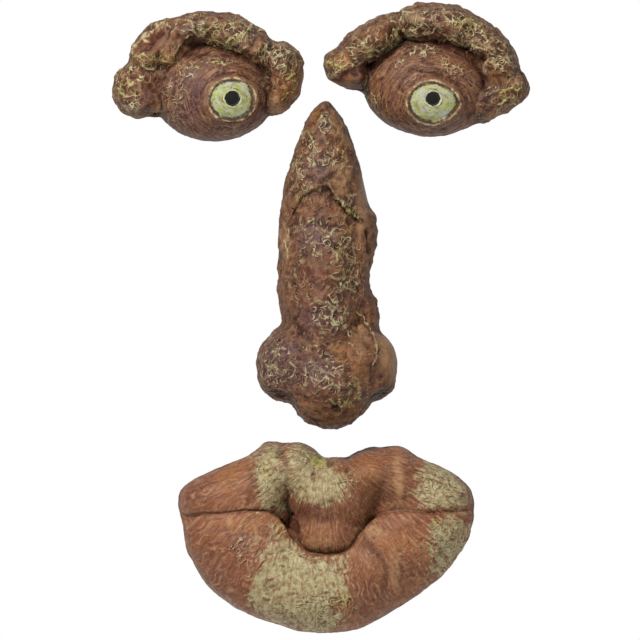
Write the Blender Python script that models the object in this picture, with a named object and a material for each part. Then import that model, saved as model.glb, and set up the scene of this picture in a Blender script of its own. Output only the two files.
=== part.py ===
"""Tree face: two eyes, a nose and a mouth of cast resin, each hung on a screw of its own.

X runs to the viewer's right, Z up. The flat backs lie on the plane y = 0 and the carving faces -Y.
The origin is the middle of the nose's back.
"""

import math

import bmesh
import bpy
import numpy as np

# Driving sizes, in metres.
NOSE_HEIGHT = 0.186
NOSE_DEPTH = 0.052
LEFT_EYE_WIDTH = 0.107
RIGHT_EYE_WIDTH = 0.1165
EYE_DEPTH = 0.038
MOUTH_WIDTH = 0.166
MOUTH_DEPTH = 0.040

# Places of the pieces on the trunk. The irises are level with the nose's top.
LEFT_IRIS_OUT = 0.0533
RIGHT_IRIS_OUT = 0.0607
NOSE_TO_MOUTH_GAP = 0.0065

# Rounded edge that every casting has around its flat back.
EDGE_THICKNESS = 0.007
EDGE_ROUNDING = 0.005

# How softly neighbouring lumps of clay run into each other.
OUTLINE_BLEND = 0.0012
CREASE_BLEND = 0.0008
EYE_BLEND = 0.0035
NOSE_BLEND = 0.0045
MOUTH_BLEND = 0.0035

# Eyes.
LEFT_IRIS_WIDTH = 0.0254
LEFT_IRIS_HEIGHT = 0.0230
RIGHT_IRIS_WIDTH = 0.0286
RIGHT_IRIS_HEIGHT = 0.0234
IRIS_RECESS = 0.0014
IRIS_FLATTENING = 0.0012
PUPIL_DEPTH = 0.0016
PUPIL_SHARE = 0.38

# Nose.
BARK_STEP = 0.0035
BARK_STEP_SLOPE = 0.004
NOSTRIL_DEPTH = 0.007

# Mouth.
SEAM_FLOOR_SHARE = 0.45
UPPER_LIP_ROLL = 0.004
LOWER_LIP_ROLL = 0.007

# Keyhole in each back, for a round-headed screw.
SCREW_HEAD = 0.009
SCREW_SHANK = 0.0045
SCREW_CLEARANCE = 0.001
POCKET_CLEARANCE = 0.0015
KEYHOLE_RISE = 0.010
KEYHOLE_SKIN = 0.003
KEYHOLE_DEPTH = 0.008

# Mesh.
RAYS = 64
NOSE_RAYS = 72
EYE_BODY_RINGS = 8
NOSE_BODY_RINGS = 15
MOUTH_BODY_RINGS = 13
KEYHOLE_SIDES = 24
SEARCH_STEPS = 900
SMOOTHING_ANGLE = 60.0
# Rings of an eye from its middle to just past the lid's edge, as shares of the iris.
EYE_CORE_SHARES = (0.33, 0.43, 0.95, 1.05)
# Rings of the rounded rim, as shares of its radius in from the outline.
RIM_SHARES = (0.8, 0.36, 0.1, 0.0)

# Lumps of clay. Name, middle across, middle up, half width, half height, turn in degrees
# anticlockwise, depth, squareness. Places and widths are hundredths of the piece's width (of the
# nose's height for the nose), and depths are hundredths of its carving's depth.
LEFT_LIDS = (
    ("lids", -10.0, 5.5, 32.5, 27.5, 0, 87, 2.0),
    ("eyeball", -1.0, 0.5, 21.0, 19.0, 0, 100, 2.0),
)
LEFT_BROW = (
    ("cheek lobe", -49.5, 5.0, 13.0, 14.5, 10, 58, 2.3),
    ("lobe web", -42.5, 0.0, 7.0, 7.0, 0, 55, 2.0),
    ("temple lobe", -42.0, 27.5, 10.0, 16.0, -35, 71, 2.1),
    ("inner roll", -29.5, 26.5, 7.5, 14.0, -42, 74, 2.2),
    ("left crown", -20.5, 35.0, 19.5, 10.5, 10, 87, 2.3),
    ("right crown", -1.5, 35.0, 17.0, 10.0, -12, 90, 2.2),
    ("crown end", 11.5, 28.0, 10.5, 9.0, -40, 90, 2.0),
    ("shoulder", 24.5, 21.0, 12.5, 9.5, -20, 77, 2.4),
    ("ear", 26.5, 10.5, 10.5, 12.5, 0, 71, 2.4),
    ("ear tip", 23.5, -0.5, 8.0, 7.0, 25, 58, 2.4),
)
RIGHT_LIDS = (
    ("lids", -1.5, 7.0, 32.5, 24.5, 0, 87, 2.0),
    ("eyeball", 0.0, 0.5, 20.5, 17.5, 0, 100, 2.0),
)
RIGHT_BROW = (
    ("inner lobe", -42.5, 16.5, 10.5, 9.0, 12, 61, 2.7),
    ("lobe web", -38.5, 13.0, 8.5, 7.5, -20, 58, 2.2),
    ("brow rise", -30.0, 28.5, 19.0, 9.0, 33, 84, 2.4),
    ("crown", -4.5, 37.5, 17.5, 9.5, 2, 94, 2.3),
    ("right crown", 11.0, 35.5, 14.5, 9.5, -20, 94, 2.2),
    ("brow fall", 26.0, 27.5, 15.5, 8.5, -42, 87, 2.3),
    ("temple", 32.0, 15.5, 9.5, 11.0, -10, 74, 2.3),
    ("ear", 30.0, 2.0, 17.5, 9.5, 28, 65, 2.8),
)
NOSE_LUMPS = (
    ("bridge", -0.4, 8.0, 14.2, 42.0, 0, 60, 1.55),
    ("shaft", -0.4, -7.5, 13.4, 19.0, 0, 67, 2.6),
    ("crest", 0.0, -16.5, 10.5, 29.5, 0, 82, 2.0),
    ("side flap", 12.0, 9.0, 3.5, 8.0, 0, 27, 2.2),
    ("left roll", -11.3, -8.0, 3.0, 6.5, 0, 36, 2.2),
    ("right roll", 12.0, -16.0, 4.0, 7.5, 0, 40, 2.2),
    ("tip", 1.4, -36.6, 13.1, 13.4, 0, 100, 2.0),
    ("left wing", -11.6, -31.4, 9.3, 10.7, 0, 67, 2.4),
    ("right wing", 12.2, -31.4, 9.5, 10.7, 0, 67, 2.4),
)
UPPER_LIP = (
    ("left body", -27.3, 16.5, 23.0, 10.0, 21, 64, 3.0),
    ("left outer", -39.5, 13.3, 9.5, 6.0, 8, 55, 3.4),
    ("left fold", -19.5, 20.0, 7.5, 12.5, -8, 76, 2.1),
    ("left bow", -10.0, 23.0, 9.5, 9.0, -15, 79, 2.0),
    ("tubercle", 2.7, 14.7, 16.7, 12.3, 0, 100, 2.1),
    ("right bow", 15.0, 22.0, 10.0, 7.5, 4, 82, 2.0),
    ("right ridge", 24.5, 19.5, 8.0, 11.5, 8, 79, 2.1),
    ("right body", 28.5, 17.3, 20.5, 10.0, -20, 67, 2.8),
    ("right outer", 40.0, 13.0, 9.2, 5.8, -12, 58, 4.0),
    ("inner lip", 0.0, 2.0, 14.5, 10.0, 0, 61, 2.2),
)
LOWER_LIP = (
    ("lower left", -21.0, -7.0, 27.0, 20.0, -31, 88, 2.1),
    ("lower corner", -37.0, 0.0, 11.0, 9.0, 0, 61, 2.8),
    ("lower right", 23.0, -4.0, 30.5, 17.8, 38, 88, 2.2),
    ("lower middle", -0.7, -16.0, 26.3, 17.0, 0, 100, 2.1),
)

# Shares of a piece's own size.
MOUTH_TOP_SHARE = 0.331
SEAM_LEVEL_SHARE = 0.084
SEAM_DIP_SHARE = 0.145
SEAM_DIP_HALF_WIDTH_SHARE = 0.1325
SEAM_DIP_SQUARENESS = 3.5
BARK_STEP_TOP_SHARE = 0.24
BARK_STEP_FALL_RATIO = 0.85
LEFT_NOSTRIL = (-0.135, -0.405)
RIGHT_NOSTRIL = (0.158, -0.405)
NOSTRIL_RADIUS_SHARE = 0.024
NOSE_STRETCH_RATIO = 2.3
NOSE_RAY_CENTRE = -0.11
LEFT_EYE_HANG = (-0.108, 0.26)
RIGHT_EYE_HANG = (-0.006, 0.25)
NOSE_HANG = (0.0, 0.22)
MOUTH_HANG = (0.001, 0.165)

RESIN_BROWN = (0.26, 0.10, 0.06, 1.0)
LIP_BROWN = (0.38, 0.14, 0.07, 1.0)


def lump_radius(x, z, lump, unit):
    """Distance from a lump's middle as a share of its own radius: 1 on its edge."""
    _, middle_x, middle_z, half_width, half_height, turn, _, squareness = lump
    share = unit / 100.0
    angle = math.radians(turn)
    right = x - middle_x * share
    up = z - middle_z * share
    along = (right * math.cos(angle) + up * math.sin(angle)) / (half_width * share)
    across = (up * math.cos(angle) - right * math.sin(angle)) / (half_height * share)
    return (np.abs(along) ** squareness + np.abs(across) ** squareness) ** (1.0 / squareness)


def lump_reach(lump, unit):
    """The shorter half size of a lump, in metres."""
    return min(lump[3], lump[4]) * unit / 100.0


def soft_maximum(values, blend):
    """Largest of several fields, with a fillet of the given size where two of them meet."""
    highest = np.max(values, axis=0)
    return highest + blend * np.log(np.sum(np.exp((values - highest) / blend), axis=0))


def outline_field(x, z, lumps, unit):
    """Positive inside the outline of a heap of lumps, negative outside it."""
    fields = [lump_reach(lump, unit) * (1.0 - lump_radius(x, z, lump, unit)) for lump in lumps]
    return soft_maximum(np.array(fields), OUTLINE_BLEND)


def heap_depth(x, z, lumps, unit, full_depth, blend):
    """Depth of a heap of half ellipsoids that run softly into each other."""
    depths = []
    for lump in lumps:
        radius = lump_radius(x, z, lump, unit)
        inside = lump[6] / 100.0 * full_depth * np.sqrt(np.clip(1.0 - radius ** 2, 0.0, 1.0))
        outside = (1.0 - radius) * lump_reach(lump, unit)
        depths.append(np.where(radius < 1.0, inside, outside))
    return np.maximum(soft_maximum(np.array(depths), blend), 0.0)


def edge_depth(field):
    """Quarter round that lifts the carving off the flat back all round its outline."""
    share = np.clip(field / EDGE_ROUNDING, 0.0, 1.0)
    return EDGE_THICKNESS * np.sqrt(1.0 - (1.0 - share) ** 2)


def eye_depth(x, z, lids, brow, unit, iris):
    """Lids and brow meet in a tight crease, and the iris is sunk in the eyeball."""
    carving = EYE_DEPTH - EDGE_THICKNESS
    lid_depth = heap_depth(x, z, lids, unit, carving, EYE_BLEND)
    brow_depth = heap_depth(x, z, brow, unit, carving, EYE_BLEND)
    depth = soft_maximum(np.array([lid_depth, brow_depth]), CREASE_BLEND)
    radius = np.sqrt((x / iris[0]) ** 2 + (z / iris[1]) ** 2)
    depth -= np.where(radius < 1.0, IRIS_RECESS + IRIS_FLATTENING * (1.0 - radius ** 2), 0.0)
    depth -= np.where(radius < PUPIL_SHARE, PUPIL_DEPTH, 0.0)
    return depth + edge_depth(outline_field(x, z, lids + brow, unit))


def nose_depth(x, z):
    """A ridged shaft that swells into the tip, under a plate of bark with a pointed lower edge."""
    depth = heap_depth(x, z, NOSE_LUMPS, NOSE_HEIGHT, NOSE_DEPTH - EDGE_THICKNESS, NOSE_BLEND)
    step_line = BARK_STEP_TOP_SHARE * NOSE_HEIGHT - BARK_STEP_FALL_RATIO * np.abs(x)
    field = outline_field(x, z, NOSE_LUMPS, NOSE_HEIGHT)
    inland = np.clip(field / EDGE_THICKNESS, 0.0, 1.0)
    depth -= BARK_STEP * inland / (1.0 + np.exp((z - step_line) / (BARK_STEP_SLOPE / 4.0)))
    for nostril in (LEFT_NOSTRIL, RIGHT_NOSTRIL):
        away = (x - nostril[0] * NOSE_HEIGHT) ** 2 + (z - nostril[1] * NOSE_HEIGHT) ** 2
        pit = np.exp(-away / (NOSTRIL_RADIUS_SHARE * NOSE_HEIGHT) ** 2)
        depth -= np.minimum(NOSTRIL_DEPTH * pit, 0.5 * np.maximum(depth, 0.0))
    return np.maximum(depth, 0.0) + edge_depth(field)


def seam_height(x):
    """Height of the line between the lips: level, with a dip under the middle of the upper lip."""
    across = np.abs(x) / (SEAM_DIP_HALF_WIDTH_SHARE * MOUTH_WIDTH)
    return MOUTH_WIDTH * (SEAM_LEVEL_SHARE - SEAM_DIP_SHARE * np.exp(-across ** SEAM_DIP_SQUARENESS))


def lip_roll(distance, roll):
    """Share of its full depth that a lip has at a distance from the seam."""
    rising = np.sqrt(1.0 - np.exp(-np.clip(distance, 0.0, None) / roll))
    return SEAM_FLOOR_SHARE + (1.0 - SEAM_FLOOR_SHARE) * rising


def mouth_depth(x, z):
    """Two lips that each roll in to the seam between them."""
    carving = MOUTH_DEPTH - EDGE_THICKNESS
    above = z - seam_height(x)
    tiny = MOUTH_WIDTH / 1000.0
    slope = (seam_height(x + tiny) - seam_height(x - tiny)) / (2.0 * tiny)
    above /= np.sqrt(1.0 + slope ** 2)
    upper = heap_depth(x, z, UPPER_LIP, MOUTH_WIDTH, carving, MOUTH_BLEND)
    lower = heap_depth(x, z, LOWER_LIP, MOUTH_WIDTH, carving, MOUTH_BLEND)
    depth = np.where(above > 0.0, upper * lip_roll(above, UPPER_LIP_ROLL),
                     lower * lip_roll(-above, LOWER_LIP_ROLL))
    return depth + edge_depth(outline_field(x, z, UPPER_LIP + LOWER_LIP, MOUTH_WIDTH))


def outline_radii(directions, centre_z, longest, field, lift):
    """Length of each ray from the middle of the drawing to the outline."""
    reach = np.linspace(0.0, longest, SEARCH_STEPS)
    x = directions[:, :1] * reach
    z = centre_z + directions[:, 1:] * reach
    inside = field(x, z + lift(x))
    last = np.argmax(inside < 0.0, axis=1) - 1
    rows = np.arange(len(directions))
    near = inside[rows, last]
    far = inside[rows, last + 1]
    return reach[last] + (reach[1] - reach[0]) * near / (near - far)


def level(x):
    """No lift: the rays of every piece but the mouth are straight."""
    return np.zeros_like(x)


def ring_stations(radii, core_radii, core_shares, body_rings):
    """Radius of each ring on each ray: core, body, then the rounded rim out to the outline."""
    stations = [np.zeros_like(radii)]
    for share in core_shares:
        stations.append(core_radii * share)
    start = stations[-1]
    rim_start = radii - RIM_SHARES[0] * EDGE_ROUNDING
    for ring in range(1, body_rings):
        stations.append(start + (rim_start - start) * ring / body_rings)
    for share in RIM_SHARES:
        stations.append(radii - share * EDGE_ROUNDING)
    return np.array(stations).T


def cast(name, collection, material, place, rays, stretch, centre_z, longest, field, depth,
         body_rings, lift=level, core=(0.0, 0.0), core_shares=()):
    """One casting: half a sphere pulled out to the piece's outline and depth, with a flat back."""
    angles = 2.0 * math.pi * np.arange(rays) / rays
    directions = np.stack([np.cos(angles), stretch * np.sin(angles)], axis=1)
    directions /= np.linalg.norm(directions, axis=1)[:, None]
    radii = outline_radii(directions, centre_z, longest, field, lift)
    core_radii = np.zeros(rays)
    if core_shares:
        core_radii = 1.0 / np.hypot(directions[:, 0] / core[0], directions[:, 1] / core[1])
    stations = ring_stations(radii, core_radii, core_shares, body_rings)
    rings = stations.shape[1] - 1
    x = directions[:, :1] * stations
    z = centre_z + directions[:, 1:] * stations
    z = z + lift(x)
    y = -depth(x, z)
    y[:, -1] = 0.0

    shell = bmesh.new()
    bmesh.ops.create_uvsphere(shell, u_segments=rays, v_segments=2 * rings, radius=1.0)
    behind = [vertex for vertex in shell.verts if vertex.co.z < -0.1 / rings]
    bmesh.ops.delete(shell, geom=behind, context="VERTS")
    for vertex in shell.verts:
        flat = math.hypot(vertex.co.x, vertex.co.y)
        ring = round(math.atan2(flat, vertex.co.z) / (0.5 * math.pi) * rings)
        ray = round(math.atan2(vertex.co.y, vertex.co.x) / (2.0 * math.pi) * rays) % rays
        vertex.co = (x[ray, ring], y[ray, ring], z[ray, ring])
    rim = [edge for edge in shell.edges if edge.is_boundary]
    bmesh.ops.holes_fill(shell, edges=rim, sides=0)
    bmesh.ops.recalc_face_normals(shell, faces=shell.faces)

    mesh = bpy.data.meshes.new(name)
    shell.to_mesh(mesh)
    shell.free()
    mesh.shade_smooth()
    mesh.set_sharp_from_angle(angle=math.radians(SMOOTHING_ANGLE))
    mesh.materials.append(material)
    piece = bpy.data.objects.new(name, mesh)
    piece.location = place
    collection.objects.link(piece)
    return piece


def slot_cutter(name, collection, width, rise, front, back):
    """A round-ended bar that stands on end: a cylinder whose upper half is lifted by the rise."""
    bar = bmesh.new()
    bmesh.ops.create_cone(bar, cap_ends=True, segments=KEYHOLE_SIDES, radius1=width / 2.0,
                          radius2=width / 2.0, depth=back - front)
    half_step = math.pi / KEYHOLE_SIDES
    for vertex in bar.verts:
        turned_x = vertex.co.x * math.cos(half_step) - vertex.co.y * math.sin(half_step)
        turned_z = vertex.co.x * math.sin(half_step) + vertex.co.y * math.cos(half_step)
        lifted = rise if turned_z > 0.0 else 0.0
        vertex.co = (turned_x, (front + back) / 2.0 - vertex.co.z, turned_z + lifted)
    bmesh.ops.recalc_face_normals(bar, faces=bar.faces)
    mesh = bpy.data.meshes.new(name)
    bar.to_mesh(mesh)
    bar.free()
    cutter = bpy.data.objects.new(name, mesh)
    cutter.hide_render = True
    cutter.display_type = "WIRE"
    collection.objects.link(cutter)
    return cutter


def cut_keyhole(piece, cutters, seat_x, seat_z):
    """A round entry for the screw's head, a slot for its shank, and a pocket behind the skin."""
    entry_width = SCREW_HEAD + SCREW_CLEARANCE
    slot_width = SCREW_SHANK + SCREW_CLEARANCE
    pocket_width = entry_width + POCKET_CLEARANCE
    proud = KEYHOLE_SKIN
    overlap = KEYHOLE_SKIN / 4.0
    shapes = (
        ("entry", entry_width, 0.0, -KEYHOLE_SKIN - overlap, proud),
        ("slot", slot_width, KEYHOLE_RISE, -KEYHOLE_SKIN - 2.0 * overlap, proud),
        ("pocket", pocket_width, KEYHOLE_RISE, -KEYHOLE_DEPTH, -KEYHOLE_SKIN),
    )
    for label, width, rise, front, back in shapes:
        cutter = slot_cutter(f"{piece.name} {label} cutter", cutters, width, rise, front, back)
        cutter.location = piece.location
        cutter.location.x += seat_x
        cutter.location.z += seat_z - KEYHOLE_RISE
        cut = piece.modifiers.new(f"keyhole {label}", "BOOLEAN")
        cut.operation = "DIFFERENCE"
        cut.solver = "EXACT"
        cut.object = cutter


def resin(name, colour, roughness):
    """Painted cast resin."""
    material = bpy.data.materials.new(name)
    material.use_nodes = True
    shader = material.node_tree.nodes["Principled BSDF"]
    shader.inputs["Base Color"].default_value = colour
    shader.inputs["Roughness"].default_value = roughness
    shader.inputs["Metallic"].default_value = 0.0
    return material


def build_eye(name, collection, cutters, width, lids, brow, iris_size, place, hang):
    """An eye in its lids under a rolled brow, with rays from the middle of the iris."""
    iris = (iris_size[0] / 2.0, iris_size[1] / 2.0)
    eye = cast(name, collection, resin(f"{name} resin", RESIN_BROWN, 0.7), place, RAYS, 1.0, 0.0,
               width, lambda x, z: outline_field(x, z, lids + brow, width),
               lambda x, z: eye_depth(x, z, lids, brow, width, iris),
               EYE_BODY_RINGS, core=iris, core_shares=EYE_CORE_SHARES)
    cut_keyhole(eye, cutters, hang[0] * width, hang[1] * width)


def build_nose(collection, cutters):
    """A long bark nose, with rays crowded towards its two ends."""
    nose = cast("nose", collection, resin("nose resin", RESIN_BROWN, 0.7), (0.0, 0.0, 0.0),
                NOSE_RAYS, NOSE_STRETCH_RATIO, NOSE_RAY_CENTRE * NOSE_HEIGHT, NOSE_HEIGHT,
                lambda x, z: outline_field(x, z, NOSE_LUMPS, NOSE_HEIGHT), nose_depth,
                NOSE_BODY_RINGS)
    cut_keyhole(nose, cutters, NOSE_HANG[0] * NOSE_HEIGHT, NOSE_HANG[1] * NOSE_HEIGHT)


def build_mouth(collection, cutters):
    """Full lips, with rays that start on the seam and bend with it, so that it is a line of edges."""
    height = -NOSE_HEIGHT / 2.0 - NOSE_TO_MOUTH_GAP - MOUTH_TOP_SHARE * MOUTH_WIDTH
    mouth = cast("mouth", collection, resin("lip resin", LIP_BROWN, 0.6), (0.0, 0.0, height),
                 RAYS, 1.0, 0.0, MOUTH_WIDTH,
                 lambda x, z: outline_field(x, z, UPPER_LIP + LOWER_LIP, MOUTH_WIDTH),
                 mouth_depth, MOUTH_BODY_RINGS, lift=seam_height)
    cut_keyhole(mouth, cutters, MOUTH_HANG[0] * MOUTH_WIDTH, MOUTH_HANG[1] * MOUTH_WIDTH)


for leftover in list(bpy.data.objects):
    bpy.data.objects.remove(leftover, do_unlink=True)

parts = bpy.data.collections.new("tree face")
bpy.context.scene.collection.children.link(parts)
cutting = bpy.data.collections.new("keyhole cutters")
bpy.context.scene.collection.children.link(cutting)

IRIS_LEVEL = NOSE_HEIGHT / 2.0
build_eye("left_eye", parts, cutting, LEFT_EYE_WIDTH, LEFT_LIDS, LEFT_BROW,
          (LEFT_IRIS_WIDTH, LEFT_IRIS_HEIGHT), (-LEFT_IRIS_OUT, 0.0, IRIS_LEVEL), LEFT_EYE_HANG)
build_eye("right_eye", parts, cutting, RIGHT_EYE_WIDTH, RIGHT_LIDS, RIGHT_BROW,
          (RIGHT_IRIS_WIDTH, RIGHT_IRIS_HEIGHT), (RIGHT_IRIS_OUT, 0.0, IRIS_LEVEL), RIGHT_EYE_HANG)
build_nose(parts, cutting)
build_mouth(parts, cutting)
bpy.context.view_layer.update()
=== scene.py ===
# %% [markdown]
# # A tree face of painted cast resin
# Four castings hang on a trunk and make a face of it: two bulging eyes under rolled brows, a long
# nose and a pair of full lips. The solids loaded here have their outlines and main swellings. This
# lesson models the bark, the cracks and the brushed paint over them, as meshes worked out with
# numpy.

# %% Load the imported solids
import math

import bmesh
import bpy
import numpy as np
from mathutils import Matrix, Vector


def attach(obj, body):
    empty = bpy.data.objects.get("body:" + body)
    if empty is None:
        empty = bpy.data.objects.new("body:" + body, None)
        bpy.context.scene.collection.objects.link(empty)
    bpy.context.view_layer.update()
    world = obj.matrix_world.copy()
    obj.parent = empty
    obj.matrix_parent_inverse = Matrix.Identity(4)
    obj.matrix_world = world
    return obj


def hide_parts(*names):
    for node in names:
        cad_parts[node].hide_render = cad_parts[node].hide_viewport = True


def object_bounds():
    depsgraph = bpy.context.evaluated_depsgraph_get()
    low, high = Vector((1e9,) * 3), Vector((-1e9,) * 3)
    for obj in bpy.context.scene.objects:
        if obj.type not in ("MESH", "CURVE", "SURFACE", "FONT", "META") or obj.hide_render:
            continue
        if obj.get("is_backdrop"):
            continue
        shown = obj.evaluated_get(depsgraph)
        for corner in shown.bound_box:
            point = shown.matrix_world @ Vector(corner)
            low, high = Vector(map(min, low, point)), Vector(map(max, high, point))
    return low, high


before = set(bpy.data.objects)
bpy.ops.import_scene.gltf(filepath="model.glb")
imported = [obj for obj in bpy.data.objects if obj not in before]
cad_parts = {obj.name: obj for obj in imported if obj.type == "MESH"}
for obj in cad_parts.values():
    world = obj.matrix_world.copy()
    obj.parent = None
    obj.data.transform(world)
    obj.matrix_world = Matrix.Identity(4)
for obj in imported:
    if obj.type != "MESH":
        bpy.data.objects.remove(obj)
CAD_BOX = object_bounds()
print(len(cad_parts), "solids from", list(CAD_BOX[0]), "to", list(CAD_BOX[1]))

# %% [markdown]
# Every place on the object was read off one photograph taken square on, so a place is easiest to
# follow as a pixel of it. One function turns pixels into metres, and the rest of the lesson speaks
# of the object alone. The nose's middle is the origin, X runs to the viewer's right and Z up.

# %% From photograph to object
MM = 0.001
PHOTO_ORIGIN = (326.0, 264.0)
PIXEL = 0.567 * MM


def across(pixel_x):
    """Distance to the right of the nose's middle, for a column of the photograph."""
    return (pixel_x - PHOTO_ORIGIN[0]) * PIXEL


def up(pixel_y):
    """Height above the nose's middle, for a row of the photograph."""
    return (PHOTO_ORIGIN[1] - pixel_y) * PIXEL


def on_object(pixels):
    """A line of pixels as two arrays: how far across and how far up."""
    pixels = np.asarray(pixels, dtype=float)
    return across(pixels[:, 0]), up(pixels[:, 1])


# %% [markdown]
# A sculptor builds such a face from lumps of clay pressed together. Each lump here is half of a
# squared ellipsoid, and neighbouring lumps run into each other with a small fillet. That keeps the
# solids' form, and a handful of numbers a lump is all that it takes: its middle and its half sizes
# in percent of the casting's longest side, its turn in degrees, its depth in percent of the full
# depth, and how square it is.

# %% Lumps of clay
OUTLINE_BLEND = 1.2 * MM
EDGE_THICKNESS = 7.0 * MM
EDGE_ROUNDING = 5.0 * MM


def lump_radius(x, z, lump, unit):
    """Distance from a lump's middle as a share of its own radius: 1 on its edge."""
    _, middle_x, middle_z, half_width, half_height, turn, _, squareness = lump
    share = unit / 100.0
    angle = math.radians(turn)
    right = x - middle_x * share
    above = z - middle_z * share
    along = (right * math.cos(angle) + above * math.sin(angle)) / (half_width * share)
    beside = (above * math.cos(angle) - right * math.sin(angle)) / (half_height * share)
    return (np.abs(along) ** squareness + np.abs(beside) ** squareness) ** (1.0 / squareness)


def lump_reach(lump, unit):
    """The shorter half size of a lump, in metres."""
    return min(lump[3], lump[4]) * unit / 100.0


def soft_maximum(values, blend):
    """Largest of several fields, with a fillet of the given size where two of them meet."""
    highest = np.max(values, axis=0)
    return highest + blend * np.log(np.sum(np.exp((values - highest) / blend), axis=0))


def outline_field(x, z, lumps, unit):
    """Positive inside the outline of a heap of lumps, negative outside it."""
    fields = [lump_reach(lump, unit) * (1.0 - lump_radius(x, z, lump, unit)) for lump in lumps]
    return soft_maximum(np.array(fields), OUTLINE_BLEND)


def heap_depth(x, z, lumps, unit, full_depth, blend):
    """Depth of a heap of half ellipsoids: depth times root of one less radius squared, blended."""
    depths = []
    for lump in lumps:
        radius = lump_radius(x, z, lump, unit)
        inside = lump[6] / 100.0 * full_depth * np.sqrt(np.clip(1.0 - radius ** 2, 0.0, 1.0))
        outside = (1.0 - radius) * lump_reach(lump, unit)
        depths.append(np.where(radius < 1.0, inside, outside))
    return np.maximum(soft_maximum(np.array(depths), blend), 0.0)


def edge_depth(inland):
    """Quarter round that lifts the carving off the flat back all round its outline."""
    share = np.clip(inland / EDGE_ROUNDING, 0.0, 1.0)
    return EDGE_THICKNESS * np.sqrt(1.0 - (1.0 - share) ** 2)


print("edge:", EDGE_ROUNDING / MM, "mm in and", EDGE_THICKNESS / MM, "mm up")

# %% [markdown]
# Bark needs irregular patterns that never repeat. They are made from points in space, so they wrap
# over the relief without a seam, as soft noise: a smooth field of small swellings. Its slopes come
# from a hash of whole numbers, so each run gives the same.

# %% Noise in space
SLOPE_GAIN = 1.9
AXIS_STRIDES = (73856093, 19349663, 83492791)
SEED_STRIDE = 2654435761
BIT_MIXER = 0x45D9F3B
AXIS_SEED_STEP = 1009
LAYER_SEED_STEP = 17


def hashed(lattice, seed):
    """A number from 0 to 1 for each whole-numbered point, mixed from its three coordinates."""
    strides = [lattice[..., axis] * AXIS_STRIDES[axis] for axis in range(3)]
    mixed = (strides[0] ^ strides[1] ^ strides[2] ^ (seed * SEED_STRIDE)) & 0xFFFFFFFF
    for _ in range(2):
        mixed = ((mixed ^ (mixed >> 16)) * BIT_MIXER) & 0xFFFFFFFF
    return ((mixed ^ (mixed >> 16)) & 0xFFFFFF) / float(0xFFFFFF)


def soft_noise(points, size, seed):
    """Values from about -1 to 1: a random slope at each lattice corner, eased between corners."""
    scaled = points / size
    base = np.floor(scaled).astype(np.int64)
    part = scaled - base
    ease = part ** 3 * (part * (part * 6.0 - 15.0) + 10.0)
    total = np.zeros(points.shape[:-1])
    for corner in range(8):
        step = np.array([corner & 1, (corner >> 1) & 1, (corner >> 2) & 1])
        weight = np.prod(np.where(step == 1, ease, 1.0 - ease), axis=-1)
        away = part - step
        climb = 0.0
        for axis in range(3):
            slope = 2.0 * hashed(base + step, seed + AXIS_SEED_STEP * axis) - 1.0
            climb = climb + slope * away[..., axis]
        total += weight * climb
    return total * SLOPE_GAIN


def layered_noise(points, size, seed, layers=3):
    """Soft noise of halving size and strength laid over itself."""
    total = np.zeros(points.shape[:-1])
    for layer in range(layers):
        half = 0.5 ** layer
        total += half * soft_noise(points, size * half, seed + LAYER_SEED_STEP * layer)
    return total / (2.0 - 0.5 ** (layers - 1))


def wandering(points, reach, size, seed):
    """The points, each pushed up to the given reach in a direction that drifts along."""
    pushes = [soft_noise(points, size, seed + axis) for axis in range(3)]
    return points + reach * np.stack(pushes, axis=-1)


noise_sample = soft_noise(np.linspace(0.0, 0.1, 999)[:, None] * np.ones(3), 5.0 * MM, 1)
print("soft noise:", noise_sample.min().round(2), "to", noise_sample.max().round(2))

# %% [markdown]
# The rest is put on one by one. A stroke is a line that the tool or the brush follows, and a
# patch is a soft-edged ellipse or a closed outline. Each gives a number from 0 to 1 over the
# surface, which then raises it, cuts it or tints it.

# %% Strokes and patches
SKIP_SIZE = 3.0 * MM


def eased(value, low, high, to_low=0.0, to_high=1.0):
    """One value below the low mark, another above the high mark and a smooth step between."""
    share = np.clip((value - low) / (high - low), 0.0, 1.0)
    return to_low + (to_high - to_low) * share * share * (3.0 - 2.0 * share)


def line_distance(x, z, pixels):
    """Distance to a line drawn through points of the photograph."""
    line_x, line_z = on_object(pixels)
    nearest = np.full(x.shape, 1.0)
    for start in range(len(line_x) - 1):
        run_x = line_x[start + 1] - line_x[start]
        run_z = line_z[start + 1] - line_z[start]
        from_x = x - line_x[start]
        from_z = z - line_z[start]
        along = np.clip((from_x * run_x + from_z * run_z) / (run_x ** 2 + run_z ** 2), 0.0, 1.0)
        nearest = np.minimum(nearest, np.hypot(from_x - along * run_x, from_z - along * run_z))
    return nearest


def stroke(x, z, width, *pixels):
    """1 on the line and a bell curve across it, of the given width in millimetres."""
    return np.exp(-(line_distance(x, z, pixels) / (0.5 * width * MM)) ** 2)


def strongest(x, fields):
    """The highest of several fields, and never less than nothing."""
    total = np.zeros(x.shape)
    for field in fields:
        total = np.maximum(total, field)
    return total


def strokes(x, z, width, lines):
    """The strongest of several strokes of one width."""
    return strongest(x, (stroke(x, z, width, *line) for line in lines))


def shade_strokes(x, z, shades):
    """The strongest of several strokes that each have their own width."""
    return strongest(x, (stroke(x, z, width, *line) for width, line in shades))


def patch(x, z, pixel_x, pixel_y, half_width, half_height, turn=0.0, strength=1.0):
    """A soft ellipse: full strength inside half its radius, none past one and a half."""
    angle = math.radians(turn)
    right = x - across(pixel_x)
    above = z - up(pixel_y)
    along = (right * math.cos(angle) + above * math.sin(angle)) / (half_width * PIXEL)
    beside = (above * math.cos(angle) - right * math.sin(angle)) / (half_height * PIXEL)
    return strength * eased(1.5 - np.hypot(along, beside), 0.0, 1.0)


def patches(x, z, ellipses):
    """The strongest of several soft ellipses."""
    return strongest(x, (patch(x, z, *ellipse) for ellipse in ellipses))


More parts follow.
